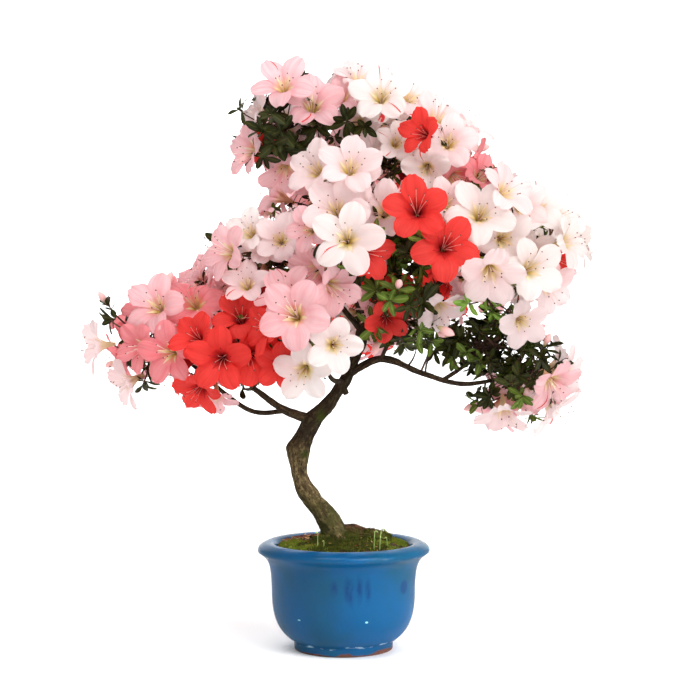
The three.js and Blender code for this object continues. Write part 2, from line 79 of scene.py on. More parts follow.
def turnTo(direction):  # rotations by the shortest way from +Z to each direction
    x, y, z = np.moveaxis(np.asarray(direction, float), -1, 0)
    k = 1 / np.maximum(1 + z, 1e-6)
    rows = [1 - k * x * x, -k * x * y, x, -k * x * y, 1 - k * y * y, y, -x, -y, z]
    return np.stack(rows, -1).reshape(np.shape(direction)[:-1] + (3, 3))


def carried(turns, local, places):  # one set of points for each copy, turned and moved to its place
    return np.einsum("nij,npj->npi", turns, local) + places[:, None]


def valueNoise(points, salt=0):  # smooth noise from -1 to 1: random heights on a unit lattice, eased between
    cell = np.floor(points)
    ease = points - cell
    ease = ease * ease * (3 - 2 * ease)
    total = 0
    for corner in np.ndindex(2, 2, 2):
        wave = np.sin((cell + corner) @ np.array([127.1, 311.7, 74.7]) + salt * 17.3) * 43758.5453
        weight = np.prod(np.where(corner, ease, 1 - ease), axis=-1)
        total = total + weight * (wave - np.floor(wave))
    return 2 * total - 1


def columns(rows):  # a list of rows to a list of arrays
    return [np.array(column) for column in zip(*rows)]


def lengthAlong(path):  # length from the start to each point
    return np.concatenate([[0], np.cumsum(np.linalg.norm(np.diff(path, axis=0), axis=1))])


def limbPath(points, steps, fine=40):
    # centripetal spline through the points, cut at even lengths; also gives the station that each cut lies at
    points = np.array(points, float)
    ends = np.vstack([2 * points[0] - points[1], points, 2 * points[-1] - points[-2]])
    before, a, b, after = ends[:-3], ends[1:-2], ends[2:-1], ends[3:]
    gap = np.sqrt(np.linalg.norm(np.diff(ends, axis=0), axis=1))[:, None]
    g0, g1, g2 = gap[:-2], gap[1:-1], gap[2:]
    leave = g1 * ((a - before) / g0 - (b - before) / (g0 + g1) + (b - a) / g1)
    arrive = g1 * ((b - a) / g1 - (after - a) / (g1 + g2) + (after - b) / g2)
    t = np.linspace(0, 1, fine, endpoint=False)[None, :, None]
    a, b, leave, arrive = (x[:, None, :] for x in (a, b, leave, arrive))
    bend = (3 * (b - a) - 2 * leave - arrive) * t**2 + (2 * (a - b) + leave + arrive) * t**3
    curve = np.vstack([(a + leave * t + bend).reshape(-1, 3), points[-1]])
    length = lengthAlong(curve)
    even = np.linspace(0, length[-1], steps + 1)
    path = np.stack([np.interp(even, length, curve[:, k]) for k in range(3)], -1)
    return path, np.interp(even, length, np.arange(len(curve)) / fine)


# Mesh tools

def gridFaces(rows, columns, closed=False):  # quads over a grid of rows x columns points
    r, c = np.meshgrid(np.arange(rows - 1), np.arange(columns if closed else columns - 1), indexing="ij")
    right = (c + 1) % columns
    faces = [r * columns + c, r * columns + right, (r + 1) * columns + right, (r + 1) * columns + c]
    return np.stack(faces, -1).reshape(-1, 4)


def capped(rings, first, last):  # a tube of rings, closed at each end by a fan round a middle point
    count, sides = rings.shape[:2]
    k = np.arange(sides)
    after, end = (k + 1) % sides, (count - 1) * sides
    firstFan = np.stack([np.full(sides, count * sides), after, k, k], -1)
    lastFan = np.stack([np.full(sides, count * sides + 1), end + k, end + after, end + after], -1)
    verts = np.vstack([rings.reshape(-1, 3), first, last])
    return verts, np.vstack([gridFaces(count, sides, True), firstFan, lastFan])


def sweep(path, radius, sides):  # a round section carried along a path: radius has a row for each ring
    tangent = unit(np.gradient(path, axis=0))
    reference = np.eye(3)[np.argmin(np.abs(tangent).max(axis=0))]
    across = unit(np.cross(tangent, reference))
    turn = around(sides)[None, :, None]
    ring = across[:, None] * np.cos(turn) - np.cross(across, tangent)[:, None] * np.sin(turn)
    return capped(path[:, None] + ring * radius[..., None], path[0], path[-1])


def lathe(profile, segments):  # a profile of (radius, height) carried round Z, its ends closed on the axis
    rings = profile[:, None, :1] * roundZ(around(segments)) + profile[:, None, 1:] * upward
    return capped(rings, profile[0, 1] * upward, profile[-1, 1] * upward)


def joinCopies(verts, faces):  # verts (copies, points, 3) of one shape to one mesh
    copies, points = verts.shape[:2]
    joined = faces[None] + (np.arange(copies) * points)[:, None, None]
    return verts.reshape(-1, 3), joined.reshape(-1, faces.shape[1])


def joinMeshes(meshes):  # several shapes to one mesh
    offset = np.cumsum([0] + [len(mesh[0]) for mesh in meshes[:-1]])
    faces = [mesh[1] + o for mesh, o in zip(meshes, offset)]
    return np.vstack([mesh[0] for mesh in meshes]), np.vstack(faces)


def fillMesh(name, mesh, material):  # a quad that names its last corner twice is kept as a triangle
    verts, faces = mesh
    keep = np.ones(faces.shape, bool)
    keep[:, 3] = faces[:, 3] != faces[:, 2]
    sizes, corners = keep.sum(axis=1), faces[keep]
    data = bpy.data.meshes.new(name)
    data.vertices.add(len(verts))
    data.loops.add(len(corners))
    data.polygons.add(len(faces))
    data.vertices.foreach_set("co", (verts * mm).astype(np.float32).ravel())
    data.loops.foreach_set("vertex_index", corners.astype(np.int32))
    data.polygons.foreach_set("loop_start", (np.cumsum(sizes) - sizes).astype(np.int32))
    data.polygons.foreach_set("use_smooth", np.ones(len(faces), bool))
    data.update(calc_edges=True)
    data.materials.append(material)
    return data


def addObject(name, data):
    thing = bpy.data.objects.new(name, data)
    bpy.context.scene.collection.objects.link(thing)
    return thing


def addPiece(name, mesh, material, slotName, **layers):
    # the layers are read by the material: fade is a number at each point, and grain a place
    data = fillMesh(name, mesh, material)
    for key, values in layers.items():
        kind, field = ("FLOAT", "value") if key == "fade" else ("FLOAT_VECTOR", "vector")
        layer = data.attributes.new(key, kind, "POINT")
        layer.data.foreach_set(field, np.asarray(values, np.float32).ravel())
    piece = addObject(name, data)
    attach(piece, "root")
    print("piece", name, len(data.polygons), "faces")
    return piece


# Material tools

def paint(code):  # "#rrggbb" as the screen shows it, to linear colour
    screen = np.array([int(code[k:k + 2], 16) for k in (1, 3, 5)]) / 255
    linear = np.where(screen <= 0.04045, screen / 12.92, ((screen + 0.055) / 1.055) ** 2.4)
    return (*linear.tolist(), 1.0)


def setInput(tree, socket, value):  # a value is a number, a colour's code or another node's output
    if isinstance(value, bpy.types.NodeSocket):
        tree.links.new(value, socket)
    else:
        socket.default_value = paint(value) if isinstance(value, str) else value


def addNode(tree, kind, inputs={}, **traits):  # gives the new node's outputs
    node = tree.nodes.new("ShaderNode" + kind)
    for trait, value in traits.items():
        setattr(node, trait, value)
    for key, value in inputs.items():
        setInput(tree, node.inputs[key], value)
    return node.outputs


def addMix(tree, factor, first, second):
    return addNode(tree, "Mix", {0: factor, 6: first, 7: second}, data_type="RGBA")[2]


def addRange(tree, value, low, high, start=0, end=1):
    ends = {"From Min": low, "From Max": high, "To Min": start, "To Max": end}
    return addNode(tree, "MapRange", {"Value": value, **ends})["Result"]


def addProduct(tree, first, second):
    return addNode(tree, "Math", {0: first, 1: second}, operation="MULTIPLY")[0]


def objectPlace(tree, stretch=(1, 1, 1)):
    place = addNode(tree, "TexCoord")["Object"]
    return addNode(tree, "Mapping", {"Vector": place, "Scale": stretch})["Vector"]


def addHeight(tree, place):
    return addNode(tree, "SeparateXYZ", {"Vector": place})["Z"]


def addLayer(tree, name, field):
    return addNode(tree, "Attribute", attribute_name=name)[field]


def newGroup(name, takes, gives):  # a node group, the values that it takes and the sockets that it gives
    group = bpy.data.node_groups.new(name, "ShaderNodeTree")
    for side, sockets in (("INPUT", takes), ("OUTPUT", gives)):
        for title, kind in sockets.items():
            group.interface.new_socket(title, in_out=side, socket_type="NodeSocket" + kind)
    return group, group.nodes.new("NodeGroupInput").outputs, group.nodes.new("NodeGroupOutput").inputs


def makeMottle():  # two colours mixed by noise, with the noise also put out as a height
    takes = {"Vector": "Vector", "Scale": "Float", "Detail": "Float", "Low": "Float", "High": "Float",
             "First": "Color", "Second": "Color"}
    group, take, give = newGroup("mottle", takes, {"Colour": "Color", "Height": "Float"})
    noise = addNode(group, "TexNoise", {name: take[name] for name in ("Vector", "Scale", "Detail")})
    height = addRange(group, noise["Fac"], take["Low"], take["High"])
    setInput(group, give["Colour"], addMix(group, height, take["First"], take["Second"]))
    setInput(group, give["Height"], height)
    return group


def makeSpot():  # 1 inside an egg-shaped spot, 0 outside it, with a soft edge
    takes = {"Vector": "Vector", "Centre": "Vector", "Radii": "Vector", "Inner": "Float"}
    group, take, give = newGroup("spot", takes, {"Mask": "Float"})
    egg = {"Vector": take["Vector"], "Location": take["Centre"], "Scale": take["Radii"]}
    inside = addNode(group, "Mapping", egg, vector_type="TEXTURE")["Vector"]
    length = addNode(group, "VectorMath", {0: inside}, operation="LENGTH")["Value"]
    setInput(group, give["Mask"], addRange(group, length, 1, take["Inner"]))
    return group


mottleGroup, spotGroup = makeMottle(), makeSpot()


def addMottle(tree, place, scale, first="#000000", second="#ffffff", detail=4, low=0.35, high=0.65):
    # gives the mixed colour and the height
    values = {"Vector": place, "Scale": scale, "Detail": detail, "Low": low, "High": high,
              "First": first, "Second": second}
    outputs = addNode(tree, "Group", values, node_tree=mottleGroup)
    return outputs["Colour"], outputs["Height"]


def addSpot(tree, place, centre, radii, soft):
    values = {"Vector": place, "Centre": np.multiply(centre, mm), "Radii": np.multiply(radii, mm),
              "Inner": 1 - soft}
    return addNode(tree, "Group", values, node_tree=spotGroup)["Mask"]


def newFinish(name):
    material = bpy.data.materials.new(name)
    material.use_nodes = True
    return material, material.node_tree


def dress(material, bump=None, **sockets):  # sets the inputs of the material's Principled shader
    tree = material.node_tree
    if bump:
        settings = dict(zip(("Height", "Strength", "Distance"), bump))
        sockets["Normal"] = addNode(tree, "Bump", settings)["Normal"]
    for name, value in sockets.items():
        setInput(tree, tree.nodes["Principled BSDF"].inputs[name.replace("_", " ")], value)
    return material


def mottledFinish(name, scale, first, second, **sockets):  # patches of two colours
    material, tree = newFinish(name)
    return dress(material, Base_Color=addMottle(tree, objectPlace(tree), scale, first, second)[0], **sockets)


def fadedFinish(name, first, second, **sockets):  # from one colour to the other by the mesh's fade
    material, tree = newFinish(name)
    return dress(material, Base_Color=addMix(tree, addLayer(tree, "fade", "Fac"), first, second), **sockets)


# Pot

pot = {
    "height": 107, "rimRadius": 86.4, "rimHeight": 100, "crestRadius": 77, "mouthRadius": 68,
    "bellyRadius": 71.7, "bellyHeight": 60, "footRadius": 49.5, "footHeight": 8.5, "wall": 9, "floor": 10,
    "footFlare": 15, "neck": (86, 90), "neckFlare": (1, 2.8), "lipEdge": (0.8, 2.5), "lipBulge": (1.5, 3),
    "footEdge": [(-1.5, 0), (-0.4, 0.4), (0, 1.5)], "footTop": [(0, -1.4), (0.3, -0.4)], "footStep": 0.6,
    "lipIn": [(2, 0), (0, -1.5), (-1.5, -5)], "insideHeights": (80, 40), "floorIn": 2,
    "segments": 160, "wobble": 0.5, "wobbleFrom": (4, 20), "wobbleScale": 34, "wobbleInside": 6,
    "glaze": "#0a4a77", "teal": "#0e455d", "cobalt": "#083862", "clay": "#5d3a2c", "crawl": "#8fb0c2",
    "chip": "#7cc6c6", "worn": "#5f82a3",
    # dark runs: across, up and half height of each
    "runs": [(-9, 71, 10), (4, 70, 15), (8, 66, 17), (15.5, 70, 17), (24, 68, 16), (-38, 77, 5)],
    "runWidth": 4.5, "runDepth": 12,
    "spots": [  # tone, softness, place and half widths
        ("cobalt", 0.35, (59, -41, 68), (6, 8, 8)),
        ("chip", 0.3, (22.5, -66, 38), (1.7, 3, 1.2)), ("chip", 0.3, (-43, -55.5, 38), (1.8, 3, 0.8)),
    ],
    # heights where the crawled line starts and ends, where the clay is bare and where the crest is worn,
    # and how far the lower ones wander
    "bands": [(6.4, 7), (8.6, 7.6), (1, 0.2), (103.5, 106.5)], "wander": -4,
}


def bezier(count, *controls):  # a Bezier curve's points, without its first
    t = np.linspace(0, 1, count + 1)[1:, None]
    layer = [np.array(c, float) for c in controls]
    while len(layer) > 1:
        layer = [a + (b - a) * t for a, b in zip(layer, layer[1:])]
    return layer[0]


def potProfile():
    # up the outside from the edge of the foot, over the lip and down the inside, as Bezier curves
    foot, low, belly, waist = pot["footRadius"], pot["footHeight"], pot["bellyRadius"], pot["bellyHeight"]
    rim, rimHeight, crest, top = pot["rimRadius"], pot["rimHeight"], pot["crestRadius"], pot["height"]
    mouth, inside = pot["mouthRadius"], pot["bellyRadius"] - pot["wall"]
    edge = (rim - pot["lipEdge"][0], rimHeight - pot["lipEdge"][1])
    bulge = (rim + pot["lipBulge"][0], rimHeight + pot["lipBulge"][1])
    neck, flare, (high, deep) = pot["neck"], pot["neckFlare"], pot["insideHeights"]
    start, lip = (foot + pot["footStep"], low), np.array(pot["lipIn"]) + [mouth, top]
    return np.vstack([
        np.array(pot["footEdge"]) + [foot, 0],
        np.array(pot["footTop"]) + [foot, low],
        bezier(18, start, (foot + pot["footFlare"], low * 2), (belly, waist / 2), (belly, waist)),
        bezier(16, (belly, waist), (belly + flare[0], neck[0]), (belly + flare[1], neck[1]), edge),
        bezier(12, edge, bulge, (crest, top)),
        bezier(6, (crest, top), *lip),
        bezier(6, lip[-1], (inside, high), (inside, deep), (foot - pot["floorIn"], pot["floor"])),
    ])


def potFinish():
    material, tree = newFinish("blue glaze")
    place = objectPlace(tree)
    height = addHeight(tree, place)
    body, pool = addMottle(tree, place, 16, pot["teal"], pot["glaze"], detail=5, low=0.3, high=0.58)
    # cobalt runs: upright smudges with ragged edges on the upper front
    ragged = addMottle(tree, objectPlace(tree, (1, 1, 0.4)), 190, low=0.3, high=0.54)[1]
    for across, up, tall in pot["runs"]:
        middle, reach = (across, -pot["bellyRadius"], up), (pot["runWidth"], pot["runDepth"], tall)
        run = addProduct(tree, addSpot(tree, place, middle, reach, 0.8), ragged)
        body = addMix(tree, run, body, pot["cobalt"])
    for tone, soft, middle, reach in pot["spots"]:
        body = addMix(tree, addSpot(tree, place, middle, reach, soft), body, pot[tone])
    # crawl: a thin broken pale line where the belly meets the foot
    dashes = addMottle(tree, place, 110, detail=6, low=0.5, high=0.62)[1]
    wander = addMottle(tree, place, 34, detail=5)[1]
    line = addNode(tree, "Math", {0: wander, 1: pot["wander"] * mm, 2: height}, operation="MULTIPLY_ADD")[0]
    lower, upper, bare, crest = np.multiply(pot["bands"], mm)
    stripe = addProduct(tree, addRange(tree, line, *lower), addRange(tree, line, *upper))
    body = addMix(tree, addProduct(tree, stripe, dashes), body, pot["crawl"])
    body = addMix(tree, addRange(tree, line, *bare), body, pot["clay"])
    worn = addMottle(tree, place, 60, detail=5, low=0.4, high=0.7)[1]
    body = addMix(tree, addProduct(tree, worn, addRange(tree, height, *crest, 0, 0.25)), body, pot["worn"])
    return dress(material, Base_Color=body, Roughness=addRange(tree, worn, 0, 1, 0.24, 0.4),
                 Specular_IOR_Level=0, Coat_Weight=0.34, Coat_Roughness=0.08, bump=(pool, 0.08, 0.001))


def makePot():
    # the profile carried round Z, its outside pushed in and out a little by a slow noise
    verts, faces = lathe(potProfile(), pot["segments"])
    out = unit(verts * [1, 1, 0] + [1e-9, 0, 0])
    outside = np.hypot(verts[:, 0], verts[:, 1]) > pot["mouthRadius"] - pot["wobbleInside"]
    lift = smooth(*pot["wobbleFrom"], verts[:, 2:]) * outside[:, None]
    verts = verts + out * lift * pot["wobble"] * valueNoise(verts / pot["wobbleScale"], 3)[:, None]
    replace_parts(addPiece("glazed_pot", (verts, faces), potFinish(), "glaze"), "pot")


# Soil and moss

soil = {
    "top": 106.5, "plateau": 57, "edge": 103.5, "radius": 66.2, "rings": 70, "segments": 180, "base": 90,
    "lumps": 1.1, "grain": 0.5, "mound": 6, "moundPlace": (-6, -2), "moundWide": (24, 22), "spread": 64,
    "lumpSize": 11, "grainSize": 2.4, "bladeCount": 13000, "bladeHeight": 1.9, "bladeWidth": 0.55,
    "cover": 0.55, "heapBare": 1.4, "cushions": (2, 48), "litterCount": 900, "strays": 0.12, "rusty": 0.65,
    "earth": ("#35220f", "#3a3413"), "bright": ("#5f7019", "#828d2e"), "deep": ("#363e0d", "#515716"),
    "rust": ("#5e2d14", "#94501f"), "dry": ("#9a7446", "#c79c66"), "sprout": ("#86a552", "#a5bf72"),
    "sprouts": [(-25, -44, 19), (-19, -41, 9), (30, -45, 23), (35.5, -47, 27), (43, -30, 12)],
    "heap": (-42, 26, 24),  # place and width of the heap of dead leaves
}


def soilHeight(x, y):  # a flat top that swells round the trunk and rolls off to the rim, with lumps
    r = np.hypot(x, y)
    fall = (soil["top"] - soil["edge"]) * smooth(soil["plateau"] - 6, soil["radius"], r)
    (moundX, moundY), (wideX, wideY) = soil["moundPlace"], soil["moundWide"]
    swell = soil["mound"] * np.exp(-((x - moundX) / wideX) ** 2 - ((y - moundY) / wideY) ** 2)
    spot = np.stack([x, y, np.zeros_like(x)], -1)
    lumps = soil["lumps"] * valueNoise(spot / soil["lumpSize"], 5)
    lumps = lumps + soil["grain"] * valueNoise(spot / soil["grainSize"], 6)
    return soil["top"] - fall + swell + lumps * smooth(soil["radius"], soil["radius"] - 9, r)


def heapedSpots(count, salt):  # points spread by the golden angle, jittered, and how deep in the heap each is
    k = np.arange(count)
    r, turn = soil["spread"] * np.sqrt((k + 0.5) / count), k * goldenAngle
    x = r * np.cos(turn) + 2 * chance(k, salt) - 1
    y = r * np.sin(turn) + 2 * chance(k, salt + 1) - 1
    heapX, heapY, heapWide = soil["heap"]
    heap = np.exp(-((x - heapX) ** 2 + (y - heapY) ** 2) / heapWide**2)
    return np.stack([x, y, soilHeight(x, y)], -1), heap


def mossFinish(name, tones):  # patches of two tones, with a fine grit
    material, tree = newFinish(name)
    place = objectPlace(tree)
    patch = addMottle(tree, place, 75, *tones, detail=5)[0]
    grit = addMottle(tree, place, 420)[1]
    return dress(material, Base_Color=patch, Roughness=0.95, Specular_IOR_Level=0.2, bump=(grit, 0.6, 0.0015))


def makeSoil():
    # rings from the edge in to the middle, each point lifted to the soil's height, over a flat base
    r = np.linspace(soil["radius"], 0.9, soil["rings"])[:, None]
    turn = around(soil["segments"])
    x, y = r * np.cos(turn), r * np.sin(turn)
    top = np.stack([x, y, soilHeight(x, y)], -1)
    base = top[:1] * [0.95, 0.95, 0] + soil["base"] * upward
    mesh = capped(np.vstack([base, top]), soil["base"] * upward, top[-1].mean(axis=0))
    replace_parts(addPiece("soil_bed", mesh, mossFinish("soil", soil["earth"]), "moss"), "soil_and_moss")


def mossBlades(spots, lean):  # short blades of moss, each a quad under a triangle
    k = np.arange(len(spots))
    tall = (soil["bladeHeight"] * (0.5 + chance(k, 23)))[:, None]
    width = roundZ(looseTurn * chance(k, 24)) * soil["bladeWidth"]
    sunk, waist, tip = spots - lean * 0.6, spots + lean * tall * 0.45, spots + lean * tall
    return np.stack([sunk - width * 0.6, sunk + width * 0.6, waist + width, tip, waist - width], 1)


def addMoss(name, blades, tones):
    mesh = joinCopies(blades, np.array([[0, 1, 2, 4], [4, 2, 3, 3]]))
    addPiece("moss_" + name, mesh, mossFinish(name + " moss", soil[tones]), "moss")


def makeMoss():
    # leaning blades, thick where a slow noise is high; bright cushions lie to the left and right
    spots, heap = heapedSpots(soil["bladeCount"], 11)
    middle, apart = soil["cushions"]
    side = np.abs(spots[:, 0] - middle) / apart + 0.5 * valueNoise(spots * [1, 1, 0] / 13, 7)
    thick = valueNoise(spots * [1, 1, 0] / 12, 8) + soil["cover"] - soil["heapBare"] * heap
    spots, side = spots[thick > 0], side[thick > 0]
    k = np.arange(len(spots))
    lean = unit(np.stack([chance(k, 21) - 0.5, chance(k, 22) - 0.5, np.ones(len(k))], -1))
    blades = mossBlades(spots, lean)
    lit = chance(k, 25) < smooth(0.55, 1.05, side)
    for name, share in (("bright", lit), ("deep", ~lit)):
        addMoss(name, blades[share], name)


def makeLitter():
    # small curled flakes of old leaf and bark, most of them behind on the left
    spots, heap = heapedSpots(soil["litterCount"], 31)
    k = np.arange(len(spots))
    turn = looseTurn * chance(k, 32)
    size = ((0.9 + 1.3 * chance(k, 33)) * (1 + 1.1 * heap))[:, None]
    along = roundZ(turn, 0.5 * (chance(k, 34) - 0.5)) * size
    over = roundZ(turn + np.pi / 2, 0.6 * (chance(k, 35) - 0.5)) * size * 0.5
    lift = spots + upward * (1.2 + 1.4 * chance(k, 36) + 0.8 * heap)[:, None]
    curl = upward * size * 0.25
    flakes = np.stack([lift - along, lift - over - curl, lift + along, lift + over - curl], 1)
    strays = soil["strays"]
    keep, rusty = chance(k, 38) < strays + (1 - strays) * heap, chance(k, 37) < soil["rusty"]
    for name, share in (("rust", rusty & keep), ("dry", ~rusty & keep)):
        mesh = joinCopies(flakes[share], np.array([[0, 1, 2, 3]]))
        addPiece("litter_" + name, mesh, mossFinish(name + " litter", soil[name]), "moss")


def makeSprouts():
    # each sprout is a thin stalk that leans, then hooks over to a small head
    t = np.linspace(0, 1, 18)
    hook = np.clip((t - 0.78) / 0.22, 0, 1)
    radius = 0.5 - 0.15 * t + 0.5 * np.exp(-((t - 0.97) / 0.04) ** 2)
    stalks = []
    for k, (x, y, tall) in enumerate(soil["sprouts"]):
        nod = 5 * chance(k, 41) - 1
        ground = float(soilHeight(np.array(x), np.array(y))) - 1
        across = x + nod * t**2 + np.sign(nod) * 0.12 * tall * hook**1.5
        path = np.stack([across, y + 0 * t, ground + tall * (t - 0.24 * hook**2)], -1)
        stalks.append(sweep(path, radius[:, None], 6))
    addPiece("sprouts", joinMeshes(stalks), mossFinish("sprout", soil["sprout"]), "moss")


# Trunk, roots and boughs

trunk = {
    "stations": [(-5, 4, 100), (-15, 4, 128), (-31, 3, 148), (-44, 0, 174), (-44, 0, 200), (-34, -2, 222),
                 (-12, -4, 249), (8, 0, 282), (18, 8, 325), (6, 10, 395), (4, 6, 468)],
    "radii": [14, 10.5, 9.2, 8.2, 9.8, 8.8, 7, 5.6, 4.8, 3.6, 2.4],
    "ground": 106.8, "rings": 420, "sides": 64, "relief": (0.13, 0.16),
    "flare": 0.3, "flareHeight": 9, "sunk": 2,
    "waist": (0.1, 195, 225),  # share that it narrows by, over these heights
    "stub": ((-4, -4, 270), (3, -8, 255), 2.6, 24, 20),  # ends, thickness, rings and sides
    # knobs: place, width, and height as a share of the trunk's thickness there
    "knobs": [
        ((-55, -3, 202), 8, 0.32), ((-47, -4, 155), 9, 0.22), ((-18, -6, 147), 6, 0.3),
        ((-36, -8, 232), 11, 0.3), ((-36, -6, 184), 7, 0.14), ((-46, -6, 178), 6, 0.1),
        ((-20, 0, 128), 8, 0.18), ((-4, -8, 262), 7, 0.25),
    ],
    "tones": {"base": "#5a4b32", "shade": "#372b1c", "tan": "#86764f", "dark": "#1d150d", "moss": "#31370f"},
    # the bark darkens from these heights, partly its own tone and partly painted shade under the crown
    "mossTo": 165, "darkAndShadeFrom": (188, 214),
    "patches": [((-37, -8, 195), (9, 10, 6)), ((-22, -10, 231), (7, 10, 13)), ((-13, -6, 137), (7, 10, 8))],
}
roots = {
    "spread": [(95, 52, 9.5), (200, 34, 7), (-40, 30, 6.5)],  # degrees from the front, length, thickness
    "startLift": 0.6, "knuckle": 0.6, "knuckleLift": 0.4, "tipDrop": 0.2, "taper": 0.35,
    "relief": (0.35, 0.35), "rings": 70, "sides": 44,
    "knobs": [
        ((30, 0, 120), 7, 0.4), ((38, -4, 114), 6, 0.35), ((12, -6, 121), 8, 0.2), ((22, -8, 112), 6, 0.3),
    ],
    "tones": {"base": "#4d3423", "shade": "#332216", "tan": "#6d4a35", "dark": "#1d120b", "moss": "#464d19"},
    "mossTo": 122, "darkAndShadeFrom": (1000, 2000), "patches": [],
}
boughs = {  # parent, share of the parent's length, bends and end, thickness at foot and tip
    "left_low": ("trunk", 0.36, [(-60, -6, 240), (-90, -18, 262)], (5.6, 3)),
    "far_left": ("left_low", 0.4, [(-92, 0, 238), (-158, -6, 290)], (3, 2)),
    "right_long": ("trunk", 0.505, [(39, -2, 290), (78, -3, 276), (118, -5, 265), (160, -8, 271)], (4.6, 2)),
    "right_mid": ("right_long", 0.62, [(118, -2, 281), (128, 0, 291)], (2.4, 1.8)),
    "right_upper": ("trunk", 0.6, [(70, 4, 348), (138, 0, 394)], (3.8, 2.2)),
    "right_front": ("right_upper", 0.3, [(80, -12, 344), (118, -28, 350)], (2.6, 1.8)),
    "left_mid": ("trunk", 0.62, [(-20, 0, 362), (-52, -10, 384)], (3.2, 2)),
    "top_left": ("trunk", 0.86, [(-18, 0, 470), (-44, -8, 500)], (2.6, 1.8)),
    "front_low": ("trunk", 0.48, [(-12, -34, 272), (-22, -58, 298)], (3, 1.9)),
    "front_centre": ("trunk", 0.66, [(14, -20, 372), (8, -46, 402)], (3, 1.9)),
    "centre_red": ("trunk", 0.7, [(40, -12, 385), (64, -38, 404)], (2.6, 1.8)),
    "centre_low": ("right_long", 0.22, [(44, -14, 306), (48, -26, 326)], (2.4, 1.8)),
    "upper_front": ("trunk", 0.8, [(4, -14, 430), (-2, -30, 446)], (2.6, 1.8)),
    "right_high": ("trunk", 0.76, [(62, -6, 412), (104, -26, 428)], (2.8, 1.8)),
    "top_right": ("trunk", 0.84, [(36, 2, 465), (68, -4, 488)], (2.6, 1.8)),
    "back_left": ("trunk", 0.58, [(-40, 40, 322), (-82, 62, 342)], (3.2, 2)),
    "back_low": ("trunk", 0.54, [(22, 44, 305), (22, 68, 322)], (2.8, 1.9)),
    "back_right": ("trunk", 0.68, [(60, 40, 372), (102, 62, 392)], (3, 2)),
    "back_upper": ("trunk", 0.74, [(-24, 34, 418), (-50, 54, 440)], (2.6, 1.8)),
    "back_top": ("trunk", 0.79, [(22, 30, 455), (34, 52, 478)], (2.4, 1.8)),
}
boughLook = {
    "tones": {"base": "#3a2d21", "shade": "#281f17", "tan": "#57452f", "dark": "#17110c", "moss": "#3a3d1a"},
    "mossTo": 240, "darkAndShadeFrom": (1000, 2000), "patches": [], "relief": (0.2, 0.22), "knobs": [], "slim": 0.87,
    "rings": 90, "sides": 20,
}
bark = {
    # the relief's noise: its radius round a limb, its stretch along it, and the scales of its three layers
    "turns": 2.6, "stretch": 9, "ridges": (1, 1, 0.7), "fine": (2.7, 2.7, 2.2), "lumps": (0.5, 0.5, 0.6),
    "mossFull": 112, "mossMost": 0.9, "darkMost": 0.8,
    "footMoss": (17, 1), "footPatch": 11, "footPatchSize": 8,
}


def barkSkin(path, radius, sides, salt, look):
    # bark relief: long ridges from noise stretched along the limb, with slow lumps under them, and knobs that
    # push the bark out from the limb's middle; the noise's own place goes with the mesh, so that the
    # material's streaks also run along the limb
    along = (lengthAlong(path) / bark["stretch"] + 40 * salt)[:, None, None]
    spot = bark["turns"] * roundZ(around(sides)) + along * upward
    noises = [valueNoise(spot * bark[key], salt + k) for k, key in enumerate(("ridges", "fine", "lumps"))]
    ridge, lump = look["relief"]
    relief = 1 + ridge * (0.5 * (1 - 2 * np.abs(noises[0])) + 0.3 * noises[1]) + lump * noises[2]
    verts, faces = sweep(path, radius[:, None] * relief, sides)
    middle = np.vstack([np.repeat(path, sides, axis=0), path[0], path[-1]])
    for place, wide, lift in look["knobs"]:
        near = np.exp(-np.sum((verts - place) ** 2, axis=1) / wide**2)
        verts = verts + (verts - middle) * (lift * near)[:, None]
    return verts, faces, np.vstack([spot.reshape(-1, 3), spot[0, 0], spot[-1, 0]])


def barkFinish(name, look):
    # broad patches, then streaks along the limb and fine specks, then darker bark and painted shade
    # above the bend, moss and dark cracks over them
    tones = look["tones"]
    material, tree = newFinish(name)
    place, grain = objectPlace(tree), addLayer(tree, "grain", "Vector")
    height = addHeight(tree, place)
    tone = addMottle(tree, place, 48, tones["shade"], tones["base"], low=0.4, high=0.6)[0]
    tone = addMottle(tree, grain, 1.4, tone, tones["tan"], 6, low=0.46, high=0.7)[0]
    tone = addMottle(tree, place, 420, tones["shade"], tone, low=0.34, high=0.5)[0]
    # darker above the bend: partly the bark's own tone, partly painted shade from the crown over it
    upperDarkAndShade = addRange(tree, height, *np.multiply(look["darkAndShadeFrom"], mm), 0, bark["darkMost"])
    tone = addMix(tree, upperDarkAndShade, tone, tones["dark"])
    # moss on the foot and in patches, both broken up by one noise
    green = addMottle(tree, place, 75, detail=6, low=0.34, high=0.5)[1]
    damp = [addRange(tree, height, look["mossTo"] * mm, bark["mossFull"] * mm, 0, bark["mossMost"])]
    damp += [addSpot(tree, place, *patch, 0.8) for patch in look["patches"]]
    for share in damp:
        tone = addMix(tree, addProduct(tree, green, share), tone, tones["moss"])
    tone, crack = addMottle(tree, grain, 2.2, tones["dark"], tone, 8, low=0.28, high=0.44)
    return dress(material, Base_Color=tone, Roughness=0.85, Specular_IOR_Level=0.12, bump=(crack, 0.8, 0.001))


def growLimbs():
    # middle line and thickness of each limb; a bough starts on its parent's line and thins evenly to its tip
    path, station = limbPath(trunk["stations"], trunk["rings"])
    limbs = {"trunk": (path, np.interp(station, np.arange(len(trunk["radii"])), trunk["radii"]))}
    for name, (parent, share, places, (thick, thin)) in boughs.items():
        base = limbs[parent][0]
        path = limbPath([base[round(share * (len(base) - 1))], *places], boughLook["rings"])[0]
        limbs[name] = (path, np.linspace(thick, thin, len(path)))
    return limbs


